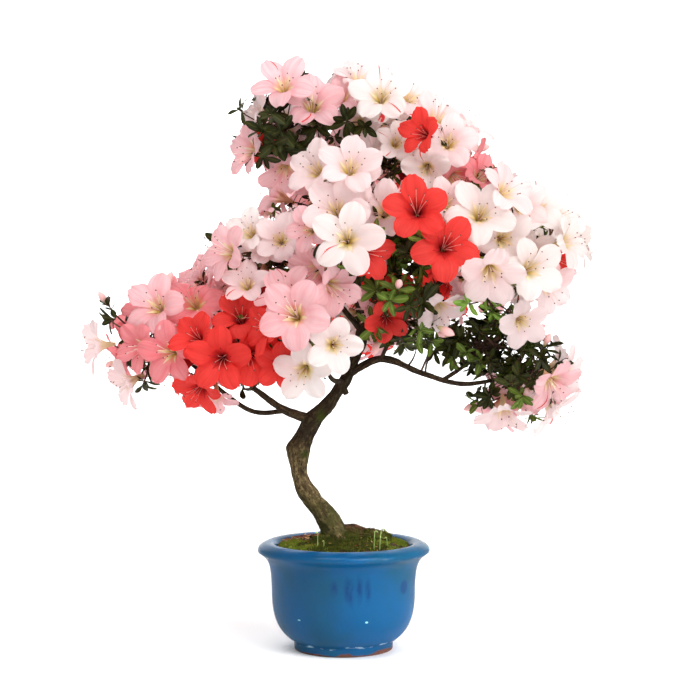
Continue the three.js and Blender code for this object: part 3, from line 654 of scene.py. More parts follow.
def rootSkins():
    # each root runs out from the trunk's foot over a knuckle, thinning evenly, and dips into the soil
    foot = np.array(trunk["stations"][0], float) * [1, 1, 0] + trunk["ground"] * upward
    skins = []
    for k, (heading, length, thick) in enumerate(roots["spread"]):
        way, up = pointing(heading, 0) * length, upward * thick
        knuckle = foot + way * roots["knuckle"] + up * roots["knuckleLift"]
        stops = [foot + up * roots["startLift"], knuckle, foot + way - up * roots["tipDrop"]]
        path = limbPath(stops, roots["rings"])[0]
        radius = thick * (1 - roots["taper"] * np.linspace(0, 1, len(path)))
        skins.append(barkSkin(path, radius, roots["sides"], 20 + k, roots))
    return skins


def addBark(name, skins, look, flatTo=0):  # what hangs below flatTo is lifted to it
    verts, faces = joinMeshes(skins)
    verts[:, 2] = np.maximum(verts[:, 2], flatTo)
    finish = barkFinish(name.replace("_", " "), look)
    return addPiece(name, (verts, faces), finish, "bark", grain=np.vstack([skin[2] for skin in skins]))


def footMoss(skins):
    # moss climbs the foot and the roots: a blade on a face of the bark, the fewer the higher
    verts, faces = joinMeshes(skins)
    corner = verts[faces]
    place = corner.mean(axis=1)
    out = unit(np.cross(corner[:, 2] - corner[:, 0], corner[:, 3] - corner[:, 1]) + 1e-9)
    above = place[:, 2] - trunk["ground"]
    patch = bark["footPatch"] * valueNoise(place / bark["footPatchSize"], 12)
    chosen = chance(np.arange(len(place)), 26) < smooth(*bark["footMoss"], above + patch) * (above > -1)
    addMoss("foot", mossBlades(place[chosen], unit(out[chosen] + [0, 0, 0.5])), "deep")


def makeLimbs(limbs):
    # the trunk's foot flares by a share that dies away with height, and its waist narrows by a smooth step
    path, radius = limbs["trunk"]
    above = (path[:, 2] - trunk["ground"]).clip(0)
    radius = radius * (1 + trunk["flare"] * np.exp(-above / trunk["flareHeight"]))
    narrower, waistFrom, waistTo = trunk["waist"]
    radius = radius * (1 - narrower * smooth(waistFrom, waistTo, path[:, 2]))
    *stubEnds, stubRadius, stubRings, stubSides = trunk["stub"]
    stub = limbPath(stubEnds, stubRings)[0]
    skins = [barkSkin(path, radius, trunk["sides"], 1, trunk),
             barkSkin(stub, np.full(len(stub), stubRadius), stubSides, 9, trunk)]
    sunk = trunk["ground"] - trunk["sunk"]
    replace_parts(addBark("bark_trunk", skins, trunk, sunk), "trunk")
    spread = rootSkins()
    addBark("bark_roots", spread, roots, sunk)
    footMoss(skins + spread)
    skins = []
    for k, name in enumerate(boughs):
        path, radius = limbs[name]
        skins.append(barkSkin(path, radius * boughLook["slim"], boughLook["sides"], 40 + k, boughLook))
    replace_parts(addBark("bark_boughs", skins, boughLook), *["bough_" + name for name in boughs])


# Masses of foliage and blossom

growth = {
    # thickness of the twigs, from the mass's stem to the tips of its ends
    "stem": 2.2, "fork": 1.7, "stalk": 1.3, "end": 0.75, "tip": 0.6,
    # forks: their count, where they leave the stem, and the spread and reach of their tips
    "forks": 3, "hubBack": 0.1, "forkFrom": (0.92, 0.13), "forkSpread": 100, "forkReach": 0.36,
    "crowding": 9, "branchBack": (0.12, 0.16, 0.9),
    # spirals of blossoms, outermost first: shares of the reach, spread and turn of the cap, room to keep
    "layers": [((0.9, 1.0), 105, 0, 42), ((0.76, 0.92), 118, 1.1, 39), ((0.54, 0.72), 140, 2.2, 36)],
    "deepMore": 6, "sizes": (0.88, 0.24, 0.05), "kinShare": 0.7, "alongWeight": 2, "facing": 0.35,
    "tube": 29, "shell": 0.97, "calyx": 3, "cupClear": 14, "cupCore": 2,
    # leafy tips, the sprigs along their stalks, and the leaf sprays inside the mass
    "leafInset": 8, "tuftSpread": 112, "tuftReach": (0.8, 0.16), "sprigs": 4, "sprigRise": 0.8,
    "sprigFrom": (0.35, 0.14), "sprigLength": (11, 8),
    "insideSpread": 165, "insideReach": (0.3, 0.62, 0.33), "insideMany": (25, 31),
    # leaves in a spray, their size, and their least and greatest lean from its twig in degrees
    "behindBlossom": (3, 0.8, 85, 125), "atTip": (9, 1.05, 20, 100), "inside": (8, 0.84, 25, 100),
}
bearers = {"top": "trunk", "right_tip": "right_long"}  # each other mass is on the bough of its own name
masses = {
    # middle, reach, looks (heading, rise, twist), leafy tips, blossom colours from the middle outwards,
    # colours among them (r red, d deep pink, p pink, l pale pink, w white, - leaves), count of blossoms set
    # between those, count of leaf sprays inside, leaf tones (d dark green, partly painted shade deep in
    # the crown; m middling, y young)
    "front_centre": ((8, -82, 396), (54, 56, 50), (-3, 4, 20), 1, "wlrlprlp", "pprl", 13, 26, "ddm"),
    "centre_red": ((78, -72, 414), (46, 50, 46), (-12, 18, 165), 1, "rrlrwl", "rwl", 11, 26, "ddmy"),
    "upper_front": ((10, -58, 463), (54, 52, 44), (-6, 8, 250), 0, "llpwll", "lpw", 13, 6, "d"),
    "front_low": ((-36, -88, 320), (50, 52, 52), (-12, 4, 190), 1, "pwpwprw", "pwr", 10, 12, "dmd"),
    "left_low": ((-122, -46, 300), (56, 54, 52), (-8, 0, 30), 2, "rdrrrrdp", "rrd", 13, 10, "dm"),
    "far_left": ((-192, -8, 312), (66, 54, 56), (-20, 0, 24), 2, "-p-d-d-", "dp", 10, 16, "dd"),
    "left_mid": ((-82, -26, 390), (56, 56, 44), (-25, 15, 100), 2, "lplppld", "plp", 10, 24, "dmd"),
    "top_left": ((-66, -14, 526), (50, 54, 60), (-30, 50, 56), 3, "------", "pl", 0, 60, "d"),
    "top": ((20, -8, 534), (58, 58, 54), (-5, 42, 80), 3, "lllllwp", "lwl", 12, 12, "d"),
    "top_right": ((92, -20, 496), (54, 56, 50), (12, 25, 0), 1, "lrwlwdl", "lwl", 14, 2, "dm"),
    "right_high": ((138, -48, 438), (48, 52, 46), (8, 10, 60), 1, "wwwlrl", "wl", 12, 8, "dm"),
    "right_upper": ((194, -6, 406), (60, 58, 62), (30, 5, 200), 2, "wrwlwwl", "wlw", 14, 3, "dm"),
    "right_front": ((150, -52, 362), (50, 52, 46), (0, -5, 250), 1, "lwllwp", "lwp", 10, 14, "dmy"),
    "centre_low": ((54, -54, 342), (44, 44, 40), (0, 0, 300), 3, "--pl", "rr", 6, 44, "dmm"),
    "right_mid": ((146, 4, 306), (54, 50, 36), (20, -10, 20), 4, "---", "-", 0, 34, "ddm"),
    "right_tip": ((180, -10, 268), (54, 50, 52), (15, -20, 60), 3, "lpllpl", "l", 2, 32, "ddm"),
    "back_left": ((-122, 72, 344), (64, 60, 56), (-145, 10, 70), 2, "pdplprp", "pdl", 12, 4, "dm"),
    "back_low": ((22, 98, 338), (58, 56, 50), (180, -5, 100), 2, "rplwrp", "plr", 12, 4, "dm"),
    "back_right": ((138, 80, 394), (64, 60, 58), (145, 10, 130), 2, "wlplwrl", "lwp", 13, 4, "dm"),
    "back_upper": ((-26, 86, 444), (58, 56, 54), (-165, 20, 160), 2, "plrplwp", "lp", 13, 4, "dm"),
    "back_top": ((52, 76, 498), (58, 54, 52), (165, 30, 190), 2, "lwplrlw", "lwp", 13, 4, "dm"),
}
mainBlossoms = {
    # blossoms and leafy tips that the eye picks out: across, up, how far behind the front of the mass,
    # heading, rise, size, colour (- leaves, b leaves with a bud)
    "front_centre": [
        (4, 404, 0, 0, 5, 1.1, "w"), (-7, 434, 2, -5, 15, 1.15, "l"), (-35, 416, 0, -25, 10, 0.85, "p"),
        (29, 392, 24, 40, -5, 0.9, "r"), (-4, 357, 4, 35, -20, 1, "p"), (-8, 372, 4, 0, -50, 0.8, "-"),
    ],
    "centre_red": [
        (68, 434, 5, -5, 12, 1.1, "r"), (96, 398, 0, 5, 5, 1.1, "r"), (101, 442, 16, 20, 15, 0.9, "l"),
        (46, 400, 44, -10, 0, 1.1, "-"), (53, 388, 46, 0, -10, 1.1, "-"), (57, 410, 46, 0, 0, 1.1, "-"),
        (66, 380, 44, 0, -20, 1.1, "-"), (78, 374, 40, 10, -20, 1, "-"), (70, 400, 50, 0, 0, 1.1, "-"),
    ],
    "upper_front": [
        (37, 436, 2, -10, 20, 1, "l"), (6, 478, 0, 0, 30, 1.1, "l"), (-31, 474, 0, -30, 20, 1, "l"),
    ],
    "top": [
        (35, 549, 0, -5, 20, 1.1, "w"), (-3, 553, 22, -10, 35, 0.9, "p"), (14, 574, 24, 5, 50, 0.9, "l"),
        (69, 553, 0, 25, 30, 1, "l"), (53, 503, 0, 10, 10, 0.8, "w"), (3, 515, 0, 0, -30, 1, "-"),
        (22, 511, 0, 10, -30, 1, "-"), (-8, 500, 4, 0, -40, 1, "-"),
    ],
    "top_left": [
        (-60, 561, 0, -10, 30, 1, "p"), (-29, 544, 0, 5, 30, 1.1, "p"), (-98, 495, 0, -55, 5, 1, "p"),
        (-58, 469, 0, -5, -50, 0.9, "p"), (-90, 532, 22, -70, 10, 0.8, "l"),
        (-80, 500, 26, -20, 0, 0.6, "r"), (-72, 530, -4, -15, 20, 1, "-"), (-80, 482, -4, -15, -40, 1, "-"),
        (-52, 489, -4, 10, -20, 1, "-"), (-25, 512, -4, 10, -20, 1, "-"), (-60, 510, -4, 0, -5, 1, "-"),
        (-42, 473, -4, 15, -40, 1, "-"), (-84, 512, -4, -40, 10, 1, "-"), (-70, 472, -2, -20, -50, 1, "-"),
        (-56, 480, -6, 0, -30, 1, "-"), (-68, 495, -4, -10, -20, 1, "-"), (-36, 494, -2, 10, -20, 1, "-"),
    ],
    "top_right": [
        (71, 509, 0, -40, 10, 0.85, "r"), (103, 503, 14, 5, 15, 1, "l"), (138, 474, 0, 30, 30, 0.9, "d"),
        (92, 532, 18, 10, 40, 1, "l"),
    ],
    "right_high": [
        (129, 433, 0, 0, 20, 1.1, "w"), (156, 405, 0, 15, -5, 1, "w"), (160, 456, 0, 40, 25, 1, "l"),
        (175, 438, 16, 20, 0, 0.9, "l"),
    ],
    "right_upper": [
        (190, 440, 0, 10, 15, 1, "w"), (217, 432, 14, 40, 20, 0.95, "w"), (224, 406, 0, 55, 10, 0.9, "w"),
        (215, 385, 22, 50, -20, 0.85, "r"), (205, 360, 0, 30, -15, 1, "l"),
    ],
    "right_front": [
        (140, 367, 0, 5, -35, 1.15, "l"), (182, 378, 0, 20, 5, 1.1, "w"), (175, 324, 0, 20, -20, 0.9, "l"),
        (118, 340, 0, -10, -30, 1, "-"),
    ],
    "centre_low": [
        (42, 327, 18, 5, -20, 0.8, "r"), (56, 350, 30, 30, 20, 0.8, "r"), (96, 334, 0, 25, -45, 0.95, "l"),
        (30, 360, -6, -10, 15, 1, "-"), (52, 362, -6, 10, 30, 1, "b"), (80, 348, -6, 25, 5, 1, "-"),
        (60, 314, 0, 0, -45, 1, "-"), (44, 346, -10, 0, -10, 1, "-"), (66, 340, -6, 20, -10, 1, "-"),
        (28, 318, 4, -20, -40, 1, "-"), (84, 318, 4, 20, -50, 1, "-"), (44, 306, 10, -10, -50, 0.9, "-"),
        (72, 305, 10, 10, -50, 0.9, "-"), (98, 314, 4, 30, -40, 0.9, "-"), (58, 298, 20, 0, -60, 0.9, "-"),
        (78, 316, 44, 10, -30, 0.8, "-"), (90, 304, 46, 20, -30, 0.8, "-"), (66, 302, 40, 0, -40, 0.8, "-"),
        (52, 310, 38, -10, -30, 0.8, "-"), (96, 320, 48, 25, 0, 0.8, "-"), (80, 302, 30, 0, -50, 0.7, "-"),
    ],
    "front_low": [
        (-46, 335, 0, -8, 8, 1.2, "p"), (-8, 306, 0, 5, 0, 0.9, "w"), (-38, 279, 6, -10, -15, 0.95, "w"),
        (-61, 285, 20, -10, -10, 0.8, "r"), (-56, 266, 0, -25, -40, 0.9, "-"),
        (-62, 274, 40, -10, -50, 0.85, "-"), (-48, 270, 44, 0, -60, 0.85, "-"),
        (-26, 272, 36, 10, -60, 0.8, "-"),
    ],
    "left_low": [
        (-118, 291, 0, -10, -5, 1.05, "r"), (-84, 296, 0, 15, 0, 1.05, "r"),
        (-99, 337, 0, -5, 35, 0.95, "r"), (-141, 256, 0, -25, -40, 0.85, "r"),
        (-144, 315, 8, -30, 20, 0.9, "r"), (-172, 296, 0, -25, -5, 1, "d"),
        (-124, 247, 14, 0, -60, 0.8, "p"), (-82, 262, 40, 20, -50, 0.85, "-"),
        (-100, 254, 40, 0, -60, 0.85, "-"),
    ],
    "far_left": [
        (-187, 346, 0, -25, 20, 1.1, "p"), (-148, 350, 0, -5, 25, 1.05, "d"),
        (-202, 303, 10, -40, 0, 0.9, "d"), (-250, 303, 0, -65, -5, 0.95, "l"),
        (-220, 263, 0, -60, -25, 0.95, "l"), (-236, 330, 0, -65, 0, 0.8, "-"),
        (-236, 350, 0, -50, 50, 0.8, "b"), (-200, 258, 0, -20, -55, 0.8, "-"),
        (-222, 284, 0, -50, -30, 0.8, "-"),
    ],
    "left_mid": [
        (-118, 396, 0, -45, 10, 0.95, "p"), (-94, 417, 12, -25, 25, 0.85, "w"),
        (-61, 408, 0, -5, 15, 0.9, "l"), (-94, 367, 0, -10, 30, 0.8, "l"), (-79, 360, 22, 0, 30, 0.75, "r"),
        (-78, 386, 0, 0, -10, 1, "-"),
    ],
    "right_mid": [
        (102, 300, 10, -20, -10, 0.8, "-"), (114, 314, 4, -10, 20, 0.8, "-"),
        (120, 294, 6, -10, -20, 0.8, "-"), (134, 320, 2, 0, 20, 0.8, "-"),
        (100, 318, 14, -30, 20, 0.8, "-"), (186, 300, 4, 40, 0, 0.8, "-"),
        (88, 293, 12, -20, -30, 0.75, "-"), (70, 297, 16, -30, -30, 0.75, "-"),
        (108, 286, 8, -10, -30, 0.75, "-"), (128, 283, 6, 0, -30, 0.75, "-"),
        (146, 284, 4, 10, -20, 0.75, "-"),
    ],
    "right_tip": [
        (208, 263, 0, 35, -35, 1, "p"), (157, 230, 0, 0, -60, 1, "l"), (227, 276, 0, 60, -10, 0.9, "l"),
        (140, 250, 0, -30, -30, 0.85, "-"), (174, 250, 0, 0, -30, 0.85, "-"),
        (163, 266, 0, 0, 0, 0.85, "-"), (188, 266, 0, 15, -20, 0.85, "-"),
    ],
}


def capDirections(middle, count, spread, twist):  # an even spiral over a cap, from its middle outwards
    k = np.arange(count)
    tilt = np.radians(spread) * np.sqrt(k / max(count - 1, 1))
    return tilted(tilt, k * goldenAngle + twist) @ turnTo(middle).T


def planMain(name):
    # each main blossom sits on the front of its mass's reach; no other blossom claims its room
    middle, reach = masses[name][:2]
    plan = []
    for k, (x, z, behind, heading, rise, size, colour) in enumerate(mainBlossoms.get(name, [])):
        across, up = (x - middle[0]) / reach[0], (z - middle[2]) / reach[2]
        y = middle[1] + behind - growth["shell"] * reach[1] * max(0.1, 1 - across**2 - up**2) ** 0.5
        heart = np.array([x, y, z], float)
        plan.append((pointing(heading, rise), heart, colour, size, looseTurn * chance(k, x), 0))
    return plan


def planBlossoms(number, main, middle, reach, facing, twist, colours, between, fill):
    # the outer spiral has its own colours; a blossom of the others mostly takes that of its nearest outer one
    plan = []
    counts = (len(colours), fill, len(colours) + growth["deepMore"])
    least, more, smaller = growth["sizes"]
    for depth, (((near, far), spread, turn, room), count) in enumerate(zip(growth["layers"], counts)):
        k = np.arange(count)
        ways = capDirections(facing, count, spread, twist + turn)
        hearts = middle + ways * reach * (near + (far - near) * chance(k, number + 130 * depth))[:, None]
        sizes = least + more * chance(k, number + 50 + 100 * depth) - smaller * depth
        rolls = chance(k, number + 30 + 140 * depth) * 2 * np.pi
        if depth == 0:
            tints = list(colours)
            outer = np.array([row[1] for row in main] + list(hearts))
            outerTints = np.array([row[2] for row in main] + tints)
        else:
            kin = outerTints[np.linalg.norm(hearts[:, None] - outer[None], axis=-1).argmin(axis=1)]
            same = (chance(k, number + 210 + depth) < growth["kinShare"]) & ~np.isin(kin, ["-", "b"])
            tints = [kin[i] if same[i] else between[i % len(between)] for i in k]
        axes = unit(ways + growth["facing"] * facing)  # a little more to the mass's own front
        plan += [(axes[i], hearts[i], tints[i], sizes[i], rolls[i], room) for i in k]
    return main + plan


def cupHeight(r):  # height over its base of a blossom's cup, at a distance from its axis
    wide = petal["radius"] - petal["tubeRadius"]
    u = np.clip((r - petal["tubeRadius"]) / (0.95 * wide), 0, 1) ** (1 / petal["flare"])
    return growth["tube"] * (1 - (1 - u) ** petal["rise"])


def clearOfCups(points, flowers):  # False for a point in a blossom's cup or close before it, off its axis
    base, axis, size = flowers[:3]
    apart = (points[:, None] - base) / size[:, None]
    along = np.sum(apart * axis, axis=-1)
    r = np.sqrt(np.maximum(np.sum(apart**2, axis=-1) - along**2, 0))
    ahead, core = along - cupHeight(r), growth["cupCore"]
    inside = (r > core) & (r < 0.85 * petal["radius"]) & (ahead > -core) & (ahead < growth["cupClear"])
    return ~inside.any(axis=1)


def cupPairs(flowers):  # pairs of neighbours that face alike: the one further in, the one further out
    base, axis, size = flowers[:3]
    heart = base + axis * growth["tube"] * size[:, None]
    apart = heart[None] - heart[:, None]
    near = (np.linalg.norm(apart, axis=-1) < 2.1 * petal["radius"]) & (axis @ axis.T > 0.2)
    further = np.sum(apart * (axis[:, None] + axis), axis=-1) < 0
    front, back = np.nonzero(near & further)
    return np.stack([back, front], -1)


def tuckBehind(world, owner, flowers):
    # what would come through the cup of a blossom in front is pressed back to lie just behind that cup
    base, axis, size = flowers[:3]
    pairs = flowers[-1]
    for back, front in pairs[np.isin(pairs[:, 0], owner)]:
        mine = owner == back
        apart = (world[mine] - base[front]) / size[front]
        r = np.linalg.norm(np.cross(apart, axis[front]), axis=-1)
        press = np.maximum(apart @ axis[front] - cupHeight(r) + petal["tuck"], 0)
        press = press * (1 - smooth(0.85, 1.15, r / petal["radius"])) * size[front]
        world[mine] = world[mine] - press[..., None] * axis[front]
    return world


def growMasses(limbs):
    # a mass's stem splits into forks, and each blossom, leafy tip and inner spray gets a twig from a fork
    twigs, flowers, sprays, buds = [], [], [], []
    mains = {name: planMain(name) for name in masses}
    axes, hearts = (np.array([row[k] for plan in mains.values() for row in plan]) for k in (0, 1))
    wood = np.vstack([limb[0] for limb in limbs.values()])
    for number, (name, row) in enumerate(masses.items()):
        middle, reach, looks, tufts, colours, between, fill, inside, tones = row
        start = limbs[bearers.get(name, name)][0][-1]
        middle, reach = np.array(middle, float), np.array(reach, float)
        facing, twist = pointing(*looks[:2]), np.radians(looks[2])
        hub = middle - facing * reach * growth["hubBack"]
        share, less = growth["forkFrom"]
        forkFrom = start + (hub - start) * (share - less * np.arange(growth["forks"])[:, None])
        forkWays = capDirections(facing, growth["forks"], growth["forkSpread"], twist + 1)
        forkTo = middle + forkWays * reach * growth["forkReach"]
        twigs.append((start, hub, growth["stem"], growth["fork"]))
        twigs += [(a, b, growth["fork"], growth["stalk"]) for a, b in zip(forkFrom, forkTo)]
        forkTo, forkFrom = np.vstack([forkTo, hub]), np.vstack([forkFrom, start])
        used = np.zeros(len(forkTo))

        def branchTo(place):  # the nearest fork takes the new twig, a little further back each time
            first, step, last = growth["branchBack"]
            best = np.argmin(np.linalg.norm(forkTo - place, axis=1) + growth["crowding"] * used)
            back = min(first + step * used[best], last)
            used[best] += 1
            return forkTo[best] + (forkFrom[best] - forkTo[best]) * back

        def addTwig(foot, end, thick="stalk", thin="end"):
            twigs.append((foot, end, growth[thick], growth[thin]))

        def addSpray(end, axis, kind, scale=1):
            leaves, size, least, greatest = growth[kind]
            sprays.append((end, axis, leaves, size * scale, least, greatest, tones[len(sprays) % len(tones)]))

        plan = planBlossoms(number, mains[name], middle, reach, facing, twist, colours, between, fill)
        for axis, heart, colour, size, roll, room in plan:
            # a blossom close behind another shows round it, so a gap along the other's axis counts for more
            apart = hearts - heart
            along = growth["alongWeight"] * np.sum(apart * axes, axis=1)
            if (np.linalg.norm(np.cross(apart, axes), axis=1) ** 2 + along**2).min() < room**2:
                continue
            hearts, axes = np.vstack([hearts, heart]), np.vstack([axes, axis])
            if colour in "-b":
                tip = heart - axis * growth["leafInset"]
                origin = branchTo(tip)
                apart = np.linalg.norm(wood - tip, axis=1)
                addTwig(wood[apart.argmin()] if apart.min() < np.linalg.norm(origin - tip) else origin, tip)
                addSpray(tip, axis, "atTip", size)
                if colour == "b":
                    buds.append((tip, axis, 1.0))
                continue
            base, calyx = heart - axis * growth["tube"] * size, axis * growth["calyx"]
            addTwig(branchTo(base), base + calyx)
            flowers.append((base, axis, size, roll, colour))
            addSpray(base - calyx, axis, "behindBlossom")
        near, more = growth["tuftReach"]
        for k, way in enumerate(capDirections(facing, tufts + 2, growth["tuftSpread"], twist + 2)[2:]):
            tip = middle + way * reach * (near + more * chance(k, number + 90))
            origin = branchTo(tip)
            stalk = tip - origin
            addTwig(origin, tip)
            addSpray(tip, unit(stalk), "atTip")
            buds.append((tip, unit(stalk), 0.8 + 0.4 * chance(k, number + 240)))
            for s in range(growth["sprigs"]):  # side sprigs along the stalk
                swing = unit(turnTo(unit(stalk)) @ roundZ(s * goldenAngle, growth["sprigRise"]))
                (low, apart), (short, longer) = growth["sprigFrom"], growth["sprigLength"]
                foot = origin + stalk * (low + apart * s)
                end = foot + swing * (short + longer * chance(k, s + 200))
                addTwig(foot, end, "end", "tip")
                addSpray(end, swing, "inside")
        # the more leaf sprays a mass has, the further out they come
        near, far, more = growth["insideReach"]
        furthest = far + more * smooth(*growth["insideMany"], inside)
        for k, way in enumerate(capDirections(facing, inside + 1, growth["insideSpread"], twist + 3.1)[1:]):
            end = middle + way * reach * (near + (furthest - near) * chance(k, number + 220) ** 0.6)
            origin = branchTo(end)
            addTwig(origin, end, "end", "tip")
            addSpray(end, unit(end - origin), "inside")
    twigs, flowers, sprays = columns(twigs), columns(flowers), columns(sprays)
    keptTwigs, keptSprays = clearOfCups(twigs[1], flowers), clearOfCups(sprays[0], flowers)
    twigs, sprays = [column[keptTwigs] for column in twigs], [column[keptSprays] for column in sprays]
    return twigs, [*flowers, cupPairs(flowers)], sprays, columns(buds)


# Twigs

twig = {"sides": 5, "steps": 6, "sag": 0.1, "tones": ("#40291d", "#5f4632")}


def makeTwigs(twigs):
    # each twig is a thin five-sided section carried along a parabola that bows a little to one side
    start, end, thick, thin = twigs
    u = np.linspace(0, 1, twig["steps"])
    length = np.linalg.norm(end - start, axis=1)[:, None]
    bow = twig["sag"] * length * (4 * u * (1 - u))[None]
    bowWay = roundZ(looseTurn * chance(np.arange(len(start)), 401))
    radius = thick[:, None] + (thin - thick)[:, None] * u
    middle = bow[..., None] * bowWay[:, None] + (length * u)[..., None] * upward
    local = radius[..., None, None] * roundZ(around(twig["sides"])) + middle[:, :, None]
    verts = carried(turnTo(unit(end - start)), local.reshape(len(start), -1, 3), start)
    mesh = joinCopies(verts, gridFaces(twig["steps"], twig["sides"], True))
    piece = addPiece("twigs", mesh, mottledFinish("twig bark", 90, *twig["tones"], Roughness=0.8), "bark")
    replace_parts(piece, *["mass_" + name for name in masses])


# Leaves

leaf = {
    "length": 15, "width": 5.8, "along": 6, "across": 5, "fold": 0.9, "droop": 2.4, "apart": 0.9,
    "names": {"d": "dark", "m": "mid", "y": "young"},
    "tones": {  # blade twice and midrib
        # the dark tone is partly the leaves' own deep green, partly painted shade for leaves deep in the
        # crown
        "d": ("#1f2208", "#31340f", "#4b4d21"), "m": ("#405118", "#5b7023", "#80904a"),
        "y": ("#5f852a", "#7b9c3c", "#a6bb70"),
    },
}


def leafBlade(count):
    # an oval, widest past its middle, with a blunt tip: the sides lift from the midrib and the tip hangs
    u = 1 - (1 - np.linspace(0, 1, leaf["along"])[:, None]) ** 1.35
    v = np.linspace(-1, 1, leaf["across"])[None]
    half = leaf["width"] / 2 * np.sin(np.pi * (0.06 + 0.91 * u) ** 1.5) ** 0.75
    curl = leaf["droop"] * (0.4 + 1.2 * chance(np.arange(count)[:, None, None], 501))
    y = leaf["fold"] * np.abs(v) * half / 4 - curl * u**2
    x, y, z, rib = np.broadcast_arrays(v * half, y, leaf["length"] * u, 1 - np.abs(v))
    return np.stack([x, y, z], -1).reshape(count, -1, 3), rib.reshape(count, -1)


def leafFinish(name, first, second, rib):  # a mottled blade with a paler midrib
    material, tree = newFinish(name)
    tone = addMottle(tree, objectPlace(tree), 60, first, second, detail=3)[0]
    line = addRange(tree, addLayer(tree, "fade", "Fac"), 0.72, 0.98, 0, 0.6)
    return dress(material, Base_Color=addMix(tree, line, tone, rib), Roughness=0.5, Specular_IOR_Level=0.14)


def makeLeaves(sprays):
    # leaves of a spray: a golden-angle whorl round its twig's end
    ends, axes, counts, sizes, least, greatest, tones = sprays
    spray = np.repeat(np.arange(len(ends)), counts)
    k = np.arange(len(spray)) - np.repeat(np.cumsum(counts) - counts, counts)
    axis = axes[spray]
    size = sizes[spray] * (0.55 + 0.85 * chance(k, spray + 600))
    turn = k * goldenAngle + spray + 1.2 * chance(k, spray + 620)
    lean = np.radians(least[spray] + (greatest - least)[spray] * chance(k, spray + 610))
    way = np.einsum("nij,nj->ni", turnTo(axis), tilted(lean, turn))
    normal = unit(axis - way * np.sum(axis * way, axis=1, keepdims=True))
    turns = np.stack([np.cross(normal, way), normal, way], -1)
    blade, rib = leafBlade(len(spray))
    verts = carried(turns, blade * size[:, None, None], ends[spray] - axis * (k * leaf["apart"])[:, None])
    faces = gridFaces(leaf["along"], leaf["across"])
    for tone, name in leaf["names"].items():
        share = tones[spray] == tone
        finish = leafFinish(name + " leaf", *leaf["tones"][tone])
        addPiece("leaves_" + name, joinCopies(verts[share], faces), finish, "bloom", fade=rib[share])


# Blossoms

petal = {
    "petals": 5, "along": 9, "across": 9, "radius": 30.5, "tubeRadius": 1.6, "halfWidth": 12.4,
    "flare": 1.7, "rise": 1.8,  # powers that the petal's radius and height grow by
    "ruffle": 1.4, "recurve": 3.2, "overlap": 1.5, "tuck": 4, "lightThrough": 0.45, "veins": 0.34,
    "closed": 18, "hollow": 2.4, "midrib": 0.7, "sway": 7,
    "names": {"r": "red", "d": "deep_pink", "p": "pink", "l": "pale_pink", "w": "white"},
    "tones": {  # edge and heart of the petals, and the glow at the throat
        "r": ("#f2463f", "#da2a28", "#b32020"), "d": ("#f9a3a7", "#ec6171", "#efb48c"),
        "p": ("#f9cdd0", "#f09aa3", "#efc391"), "l": ("#fae8e7", "#f7d8d9", "#ecd49b"),
        "w": ("#f9f1ee", "#f7e4df", "#dfd28a"),
    },
    "glow": 0.8, "glowTo": 0.34,
}


def eachPetal(flowers):  # the number and the colour of every petal
    return np.arange(len(flowers[0]) * petal["petals"]), np.repeat(flowers[4], petal["petals"])


def petalSurface(u, v, petals, lift=0.0):
    # a patch of a flaring funnel: radius and height grow along the petal, its half angle follows the outline,
    # and seeded ruffles, a recurved tip and a raised side bend it; u runs out along it and v across it
    s = [chance(petals, 700 + n)[:, None, None] for n in range(5)]
    openness = 0.86 + 0.18 * chance(petals // petal["petals"], 710)[:, None, None] + 0.06 * s[0]
    end = np.sqrt(1 - 0.76 * np.clip((u - 0.66) / 0.34, 0, 1) ** 3)
    u = u * (1 - 0.03 * v**2 * u**4)
    wide = petal["radius"] - petal["tubeRadius"]
    r = petal["tubeRadius"] + wide * u ** petal["flare"] * openness
    half = np.minimum(0.94 * r * np.tan(np.pi / 5), petal["halfWidth"]) * end
    z = growth["tube"] * (1 - (1 - u) ** petal["rise"]) + (1 - openness) * petal["closed"] * u**2
    z = z - petal["recurve"] * (0.3 + s[1]) * np.clip(u - 0.55, 0, 1) ** 2 / 0.2
    z = z + petal["overlap"] * v * smooth(0.25, 0.8, u) - petal["hollow"] * v**2 * u**2
    z = z + petal["ruffle"] * np.sin(v * (5 + 3 * s[2]) + looseTurn * s[3]) * u**2.5
    z = z - petal["midrib"] * np.exp(-(v / 0.12) ** 2) * u + petal["sway"] * (s[4] - 0.5) * u**2
    return np.broadcast_arrays(r - lift, v * half / r, z + lift)


def placeRound(r, angle, z, petals, flowers):
    # petals set round the axis, turned by the blossom's roll, scaled, aimed and moved to its stalk
    flower = petals // petal["petals"]
    base, axis, size, roll = (column[flower] for column in flowers[:4])
    spin = roll + (petals % petal["petals"]) * 2 * np.pi / petal["petals"]
    turn = angle + spin[:, None, None]
    local = np.stack([r * np.cos(turn), r * np.sin(turn), z], -1) * size[:, None, None, None]
    world = carried(turnTo(axis), local.reshape(len(petals), -1, 3), base)
    return tuckBehind(world, flower, flowers)


def petalFinish(name, edge, heart, throat):
    # a petal is thin: a share of the light passes through to its far side
    material, tree = newFinish(name)
    cloud = addMottle(tree, objectPlace(tree), 90, heart, edge, low=0.25, high=0.6)[0]
    # fine veins run out along the petal
    vein = addMottle(tree, addLayer(tree, "grain", "Vector"), 1, low=0.36, high=0.56)[1]
    outer = addMix(tree, addRange(tree, vein, 0, 1, petal["veins"], 0), edge, heart)
    fade = addLayer(tree, "fade", "Fac")
    glow = addRange(tree, fade, 0, petal["glowTo"], petal["glow"], 0)
    tint = addMix(tree, glow, addMix(tree, fade, cloud, outer), throat)
    skin = tree.nodes["Principled BSDF"].outputs["BSDF"]
    through = addNode(tree, "BsdfTranslucent", {"Color": tint})["BSDF"]
    blend = addNode(tree, "MixShader", {0: petal["lightThrough"], 1: skin, 2: through})["Shader"]
    setInput(tree, tree.nodes["Material Output"].inputs["Surface"], blend)
    return dress(material, Base_Color=tint, Roughness=0.55, Specular_IOR_Level=0.2)


